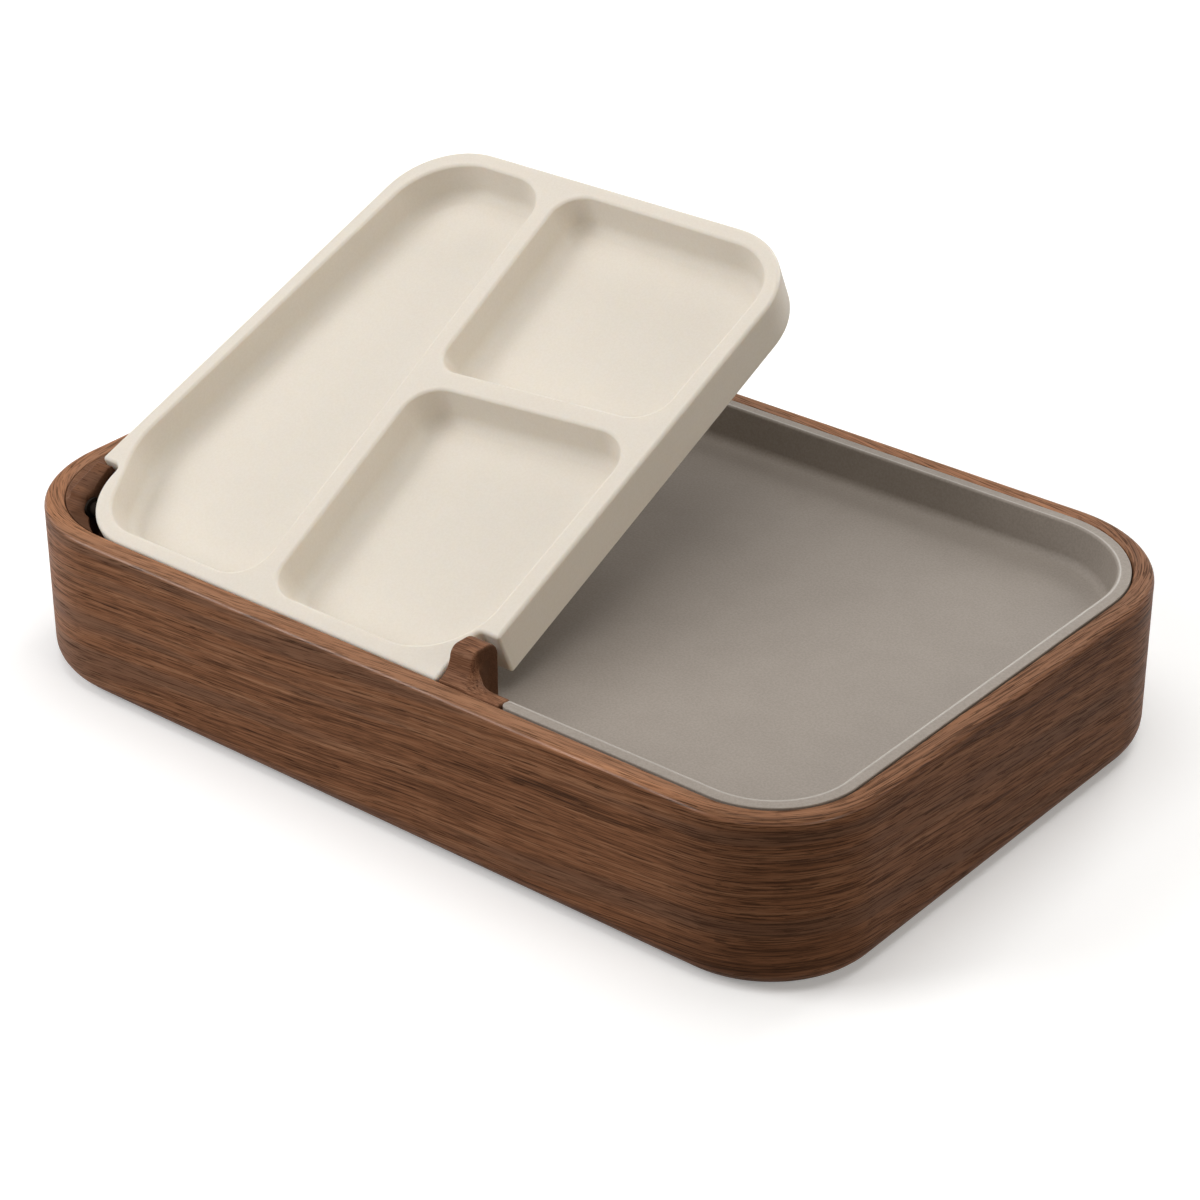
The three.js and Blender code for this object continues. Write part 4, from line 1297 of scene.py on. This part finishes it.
class TRAY_OT_stage(bpy.types.Operator):
    """Sets up the floor, the light and the camera"""

    bl_idname = "serving_tray.stage"
    bl_label = "Stage"

    def execute(self, context):
        settings = context.scene.tray_stage
        context.scene.view_settings.view_transform = "Standard"
        self.add_floor(settings)
        self.add_world(context, settings)
        size = settings.lamp_size
        add_lamp("key_lamp", settings.key_place, size, settings.key)
        add_lamp("top_lamp", settings.top_place, settings.top_size, settings.top)
        add_lamp("rear_lamp", settings.rear_place, size, settings.rear)
        add_lamp("side_lamp", settings.side_place, size, settings.side, settings.side_tint)
        self.add_camera(context, settings)
        return {"FINISHED"}

    def add_floor(self, settings):
        signs = [(-1, -1), (1, -1), (1, 1), (-1, 1)]
        corners = [(x * FLOOR_REACH, y * FLOOR_REACH, 0.0) for x, y in signs]
        floor = new_piece("floor", corners, [(0, 1, 2, 3)])
        material, nodes = new_finish("pale_floor")
        seen = seen_directly(nodes)
        pale = nodes.mix(seen, full(settings.bounce), full(settings.floor))
        matte = nodes.node("ShaderNodeBsdfDiffuse", {}, {"Color": pale})
        place = nodes.node("ShaderNodeTexCoord", {}, {}, "Object")
        distance = nodes.node("ShaderNodeVectorMath", {"operation": "LENGTH"}, {0: place}, "Value")
        away = nodes.step(distance, settings.near, settings.far)
        strength = settings.glow + away * (settings.far_glow - settings.glow)
        glow = nodes.node("ShaderNodeEmission", {}, {"Strength": seen * strength})
        both = nodes.node("ShaderNodeAddShader", {}, {0: matte, 1: glow})
        nodes.node("ShaderNodeOutputMaterial", {}, {"Surface": both})
        dress(floor, material)

    def add_world(self, context, settings):
        world = bpy.data.worlds.new("studio")
        world.use_nodes = True
        world.node_tree.nodes.clear()
        nodes = Nodes(world.node_tree)
        seen = seen_directly(nodes)
        strength = seen + (1.0 - seen) * settings.fill
        tint = nodes.mix(seen, full(settings.fill_tint), full(WHITE))
        light = nodes.node("ShaderNodeBackground", {}, {"Color": tint, "Strength": strength})
        nodes.node("ShaderNodeOutputWorld", {}, {"Surface": light})
        context.scene.world = world

    def add_camera(self, context, settings):
        data = bpy.data.cameras.new("camera")
        data.sensor_width = SENSOR_WIDTH
        data.lens = settings.focal_length
        camera = bpy.data.objects.new("camera", data)
        context.scene.collection.objects.link(camera)
        turn, lift = settings.azimuth, settings.elevation
        right = Vector((math.cos(turn), math.sin(turn), 0.0))
        level = math.cos(lift)
        back = Vector((math.sin(turn) * level, -math.cos(turn) * level, math.sin(lift)))
        up = back.cross(right)
        target = Vector((0.0, 0.0, settings.target_height))
        target += right * settings.shift_right + up * settings.shift_up
        aim(camera, target + back * settings.distance, target)
        context.scene.camera = camera


class TRAY_OT_band(bpy.types.Operator):
    """Builds the walnut band of the base"""

    bl_idname = "serving_tray.band"
    bl_label = "Walnut band"

    def execute(self, context):
        place_on(build_band(), "base", "walnut", "base_band")
        return {"FINISHED"}


class TRAY_OT_boards(bpy.types.Operator):
    """Finishes the deck and the bottom panel in walnut"""

    bl_idname = "serving_tray.boards"
    bl_label = "Deck and bottom panel"

    def execute(self, context):
        finish = walnut("walnut_board", False)
        for name in ("base_deck", "bottom_panel"):
            frame["nodes"][name].material_slots[0].material = finish
        return {"FINISHED"}


class TRAY_OT_inlay(bpy.types.Operator):
    """Builds the grey inlay"""

    bl_idname = "serving_tray.inlay"
    bl_label = "Grey inlay"

    def execute(self, context):
        tones = context.scene.tray_finishes
        piece = build_inlay()
        sizes = context.scene.tray_inlay
        top = context.scene.tray_base.rim + sizes.rise + sizes.bead
        # Painted highlight and gloss on the bead along the lip's inner edge
        edge = (UP, top + sizes.bead, 2.0 * sizes.bead)
        grit = {"grit": 1100.0, "depth": 0.00009, "roughness": 0.55}
        dress(piece, moulded("taupe_moulding", tones.taupe, tones.taupe_shade, **grit, edge=edge))
        place_on(piece, "base", "taupe_inlay", "inlay")
        return {"FINISHED"}


class TRAY_OT_lugs(bpy.types.Operator):
    """Carves the two hinge lugs"""

    bl_idname = "serving_tray.lugs"
    bl_label = "Hinge lugs"

    def execute(self, context):
        sizes = context.scene.tray_lugs
        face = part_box("hinge_lug_right")[0].x + sizes.right_width

        # Painted shade on the right face of the right post, behind its rounded front
        def painted_face_shade(nodes, x, y):
            behind = nodes.step(y, sizes.right_front, sizes.right_front + sizes.front_round)
            return nodes.ridge(x, face - sizes.edge, face + sizes.edge) * behind

        # Painted shade over the whole left lug, darkest towards its post's right side
        def shaded(nodes, x, y):
            hollow = nodes.step(x, sizes.left_end - sizes.left_painted_shade_reach, sizes.left_end)
            return sizes.left_painted_shade + hollow * (1.0 - sizes.left_painted_shade)

        finish = walnut("walnut_lug_right", False, painted_face_shade)
        right = build_lug("carved_lug_right", "hinge_lug_right", right_lug_distance, finish)
        finish = walnut("walnut_lug_left", False, shaded)
        left = build_lug("carved_lug_left", "hinge_lug_left", left_lug_distance, finish, LEDGE_RUN)
        place_on(right, "base", "walnut", "hinge_lug_right")
        place_on(left, "base", "walnut", "hinge_lug_left")
        return {"FINISHED"}


class TRAY_OT_divided(bpy.types.Operator):
    """Builds the cream divided tray"""

    bl_idname = "serving_tray.divided"
    bl_label = "Divided tray"

    def execute(self, context):
        tones = context.scene.tray_finishes
        sizes = context.scene.tray_moulding
        piece = build_divided_tray()
        # Painted highlight and gloss on the rounded edges just below the tray's top
        edge = (TRAY_NORMAL, TRAY_NORMAL.dot(PIVOT) + sizes.pivot_depth, sizes.pocket_rim)
        grit = {"grit": 1000.0, "depth": 0.00006, "roughness": 0.55, "haze": 0.3}
        dress(piece, moulded("cream_moulding", tones.cream, tones.cream_shade, **grit, edge=edge))
        place_on(piece, "tray", "cream_tray", "divided_tray")
        return {"FINISHED"}


class TRAY_OT_hardware(bpy.types.Operator):
    """Builds the screws and feet, and finishes the pins, bushes and washers"""

    bl_idname = "serving_tray.hardware"
    bl_label = "Hinge hardware, screws and feet"

    def execute(self, context):
        tones = context.scene.tray_finishes
        steel = brushed_steel()
        grit = {"grit": 3000.0, "depth": 0.00003, "roughness": 0.7, "gloss": 0.05}
        nylon = moulded("dark_nylon", tones.nylon, tones.nylon, **grit)
        grit = {"grit": 2400.0, "depth": 0.00005, "roughness": 0.7}
        silicone = moulded("silicone", tones.silicone, tones.silicone, **grit)
        place_on(build_screws(steel), "base", "steel", *PANEL_SCREWS)
        place_on(build_feet(silicone), "base", "silicone", *FOOT_PADS)
        for name, node in frame["nodes"].items():
            if name.startswith(("hinge_pin", "lug_screw")):
                node.material_slots[0].material = steel
            if name.startswith(("pivot_bush", "friction_washer")):
                node.material_slots[0].material = nylon
        return {"FINISHED"}


PIECES = [TRAY_OT_band, TRAY_OT_boards, TRAY_OT_inlay, TRAY_OT_lugs, TRAY_OT_divided, TRAY_OT_hardware]
GROUPS = {
    "tray_base": BaseSizes,
    "tray_inlay": InlaySizes,
    "tray_moulding": TraySizes,
    "tray_lugs": LugSizes,
    "tray_fasteners": FastenerSizes,
    "tray_finishes": Finishes,
    "tray_stage": StageSettings,
}


class TRAY_PT_panel(bpy.types.Panel):
    """Lists the steps that build the tray"""

    bl_label = "Divided Serving Tray"
    bl_idname = "TRAY_PT_panel"
    bl_space_type = "VIEW_3D"
    bl_region_type = "UI"
    bl_category = "Serving Tray"

    def draw(self, context):
        for step in (TRAY_OT_stage, *PIECES):
            self.layout.operator(step.bl_idname)
        for name, group in GROUPS.items():
            column = self.layout.column()
            column.label(text=group.__doc__)
            for label in group.__annotations__:
                column.prop(getattr(context.scene, name), label)


CLASSES = [*GROUPS.values(), TRAY_OT_stage, *PIECES, TRAY_PT_panel]


def register():
    for item in CLASSES:
        bpy.utils.register_class(item)
    for name, group in GROUPS.items():
        setattr(bpy.types.Scene, name, PointerProperty(type=group))


def unregister():
    for name in GROUPS:
        delattr(bpy.types.Scene, name)
    for item in reversed(CLASSES):
        bpy.utils.unregister_class(item)


def main():
    register()
    bpy.ops.serving_tray.stage()
    bpy.ops.serving_tray.band()
    bpy.ops.serving_tray.boards()
    bpy.ops.serving_tray.inlay()
    bpy.ops.serving_tray.lugs()
    bpy.ops.serving_tray.divided()
    bpy.ops.serving_tray.hardware()
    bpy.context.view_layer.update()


if __name__ == "__main__":
    main()
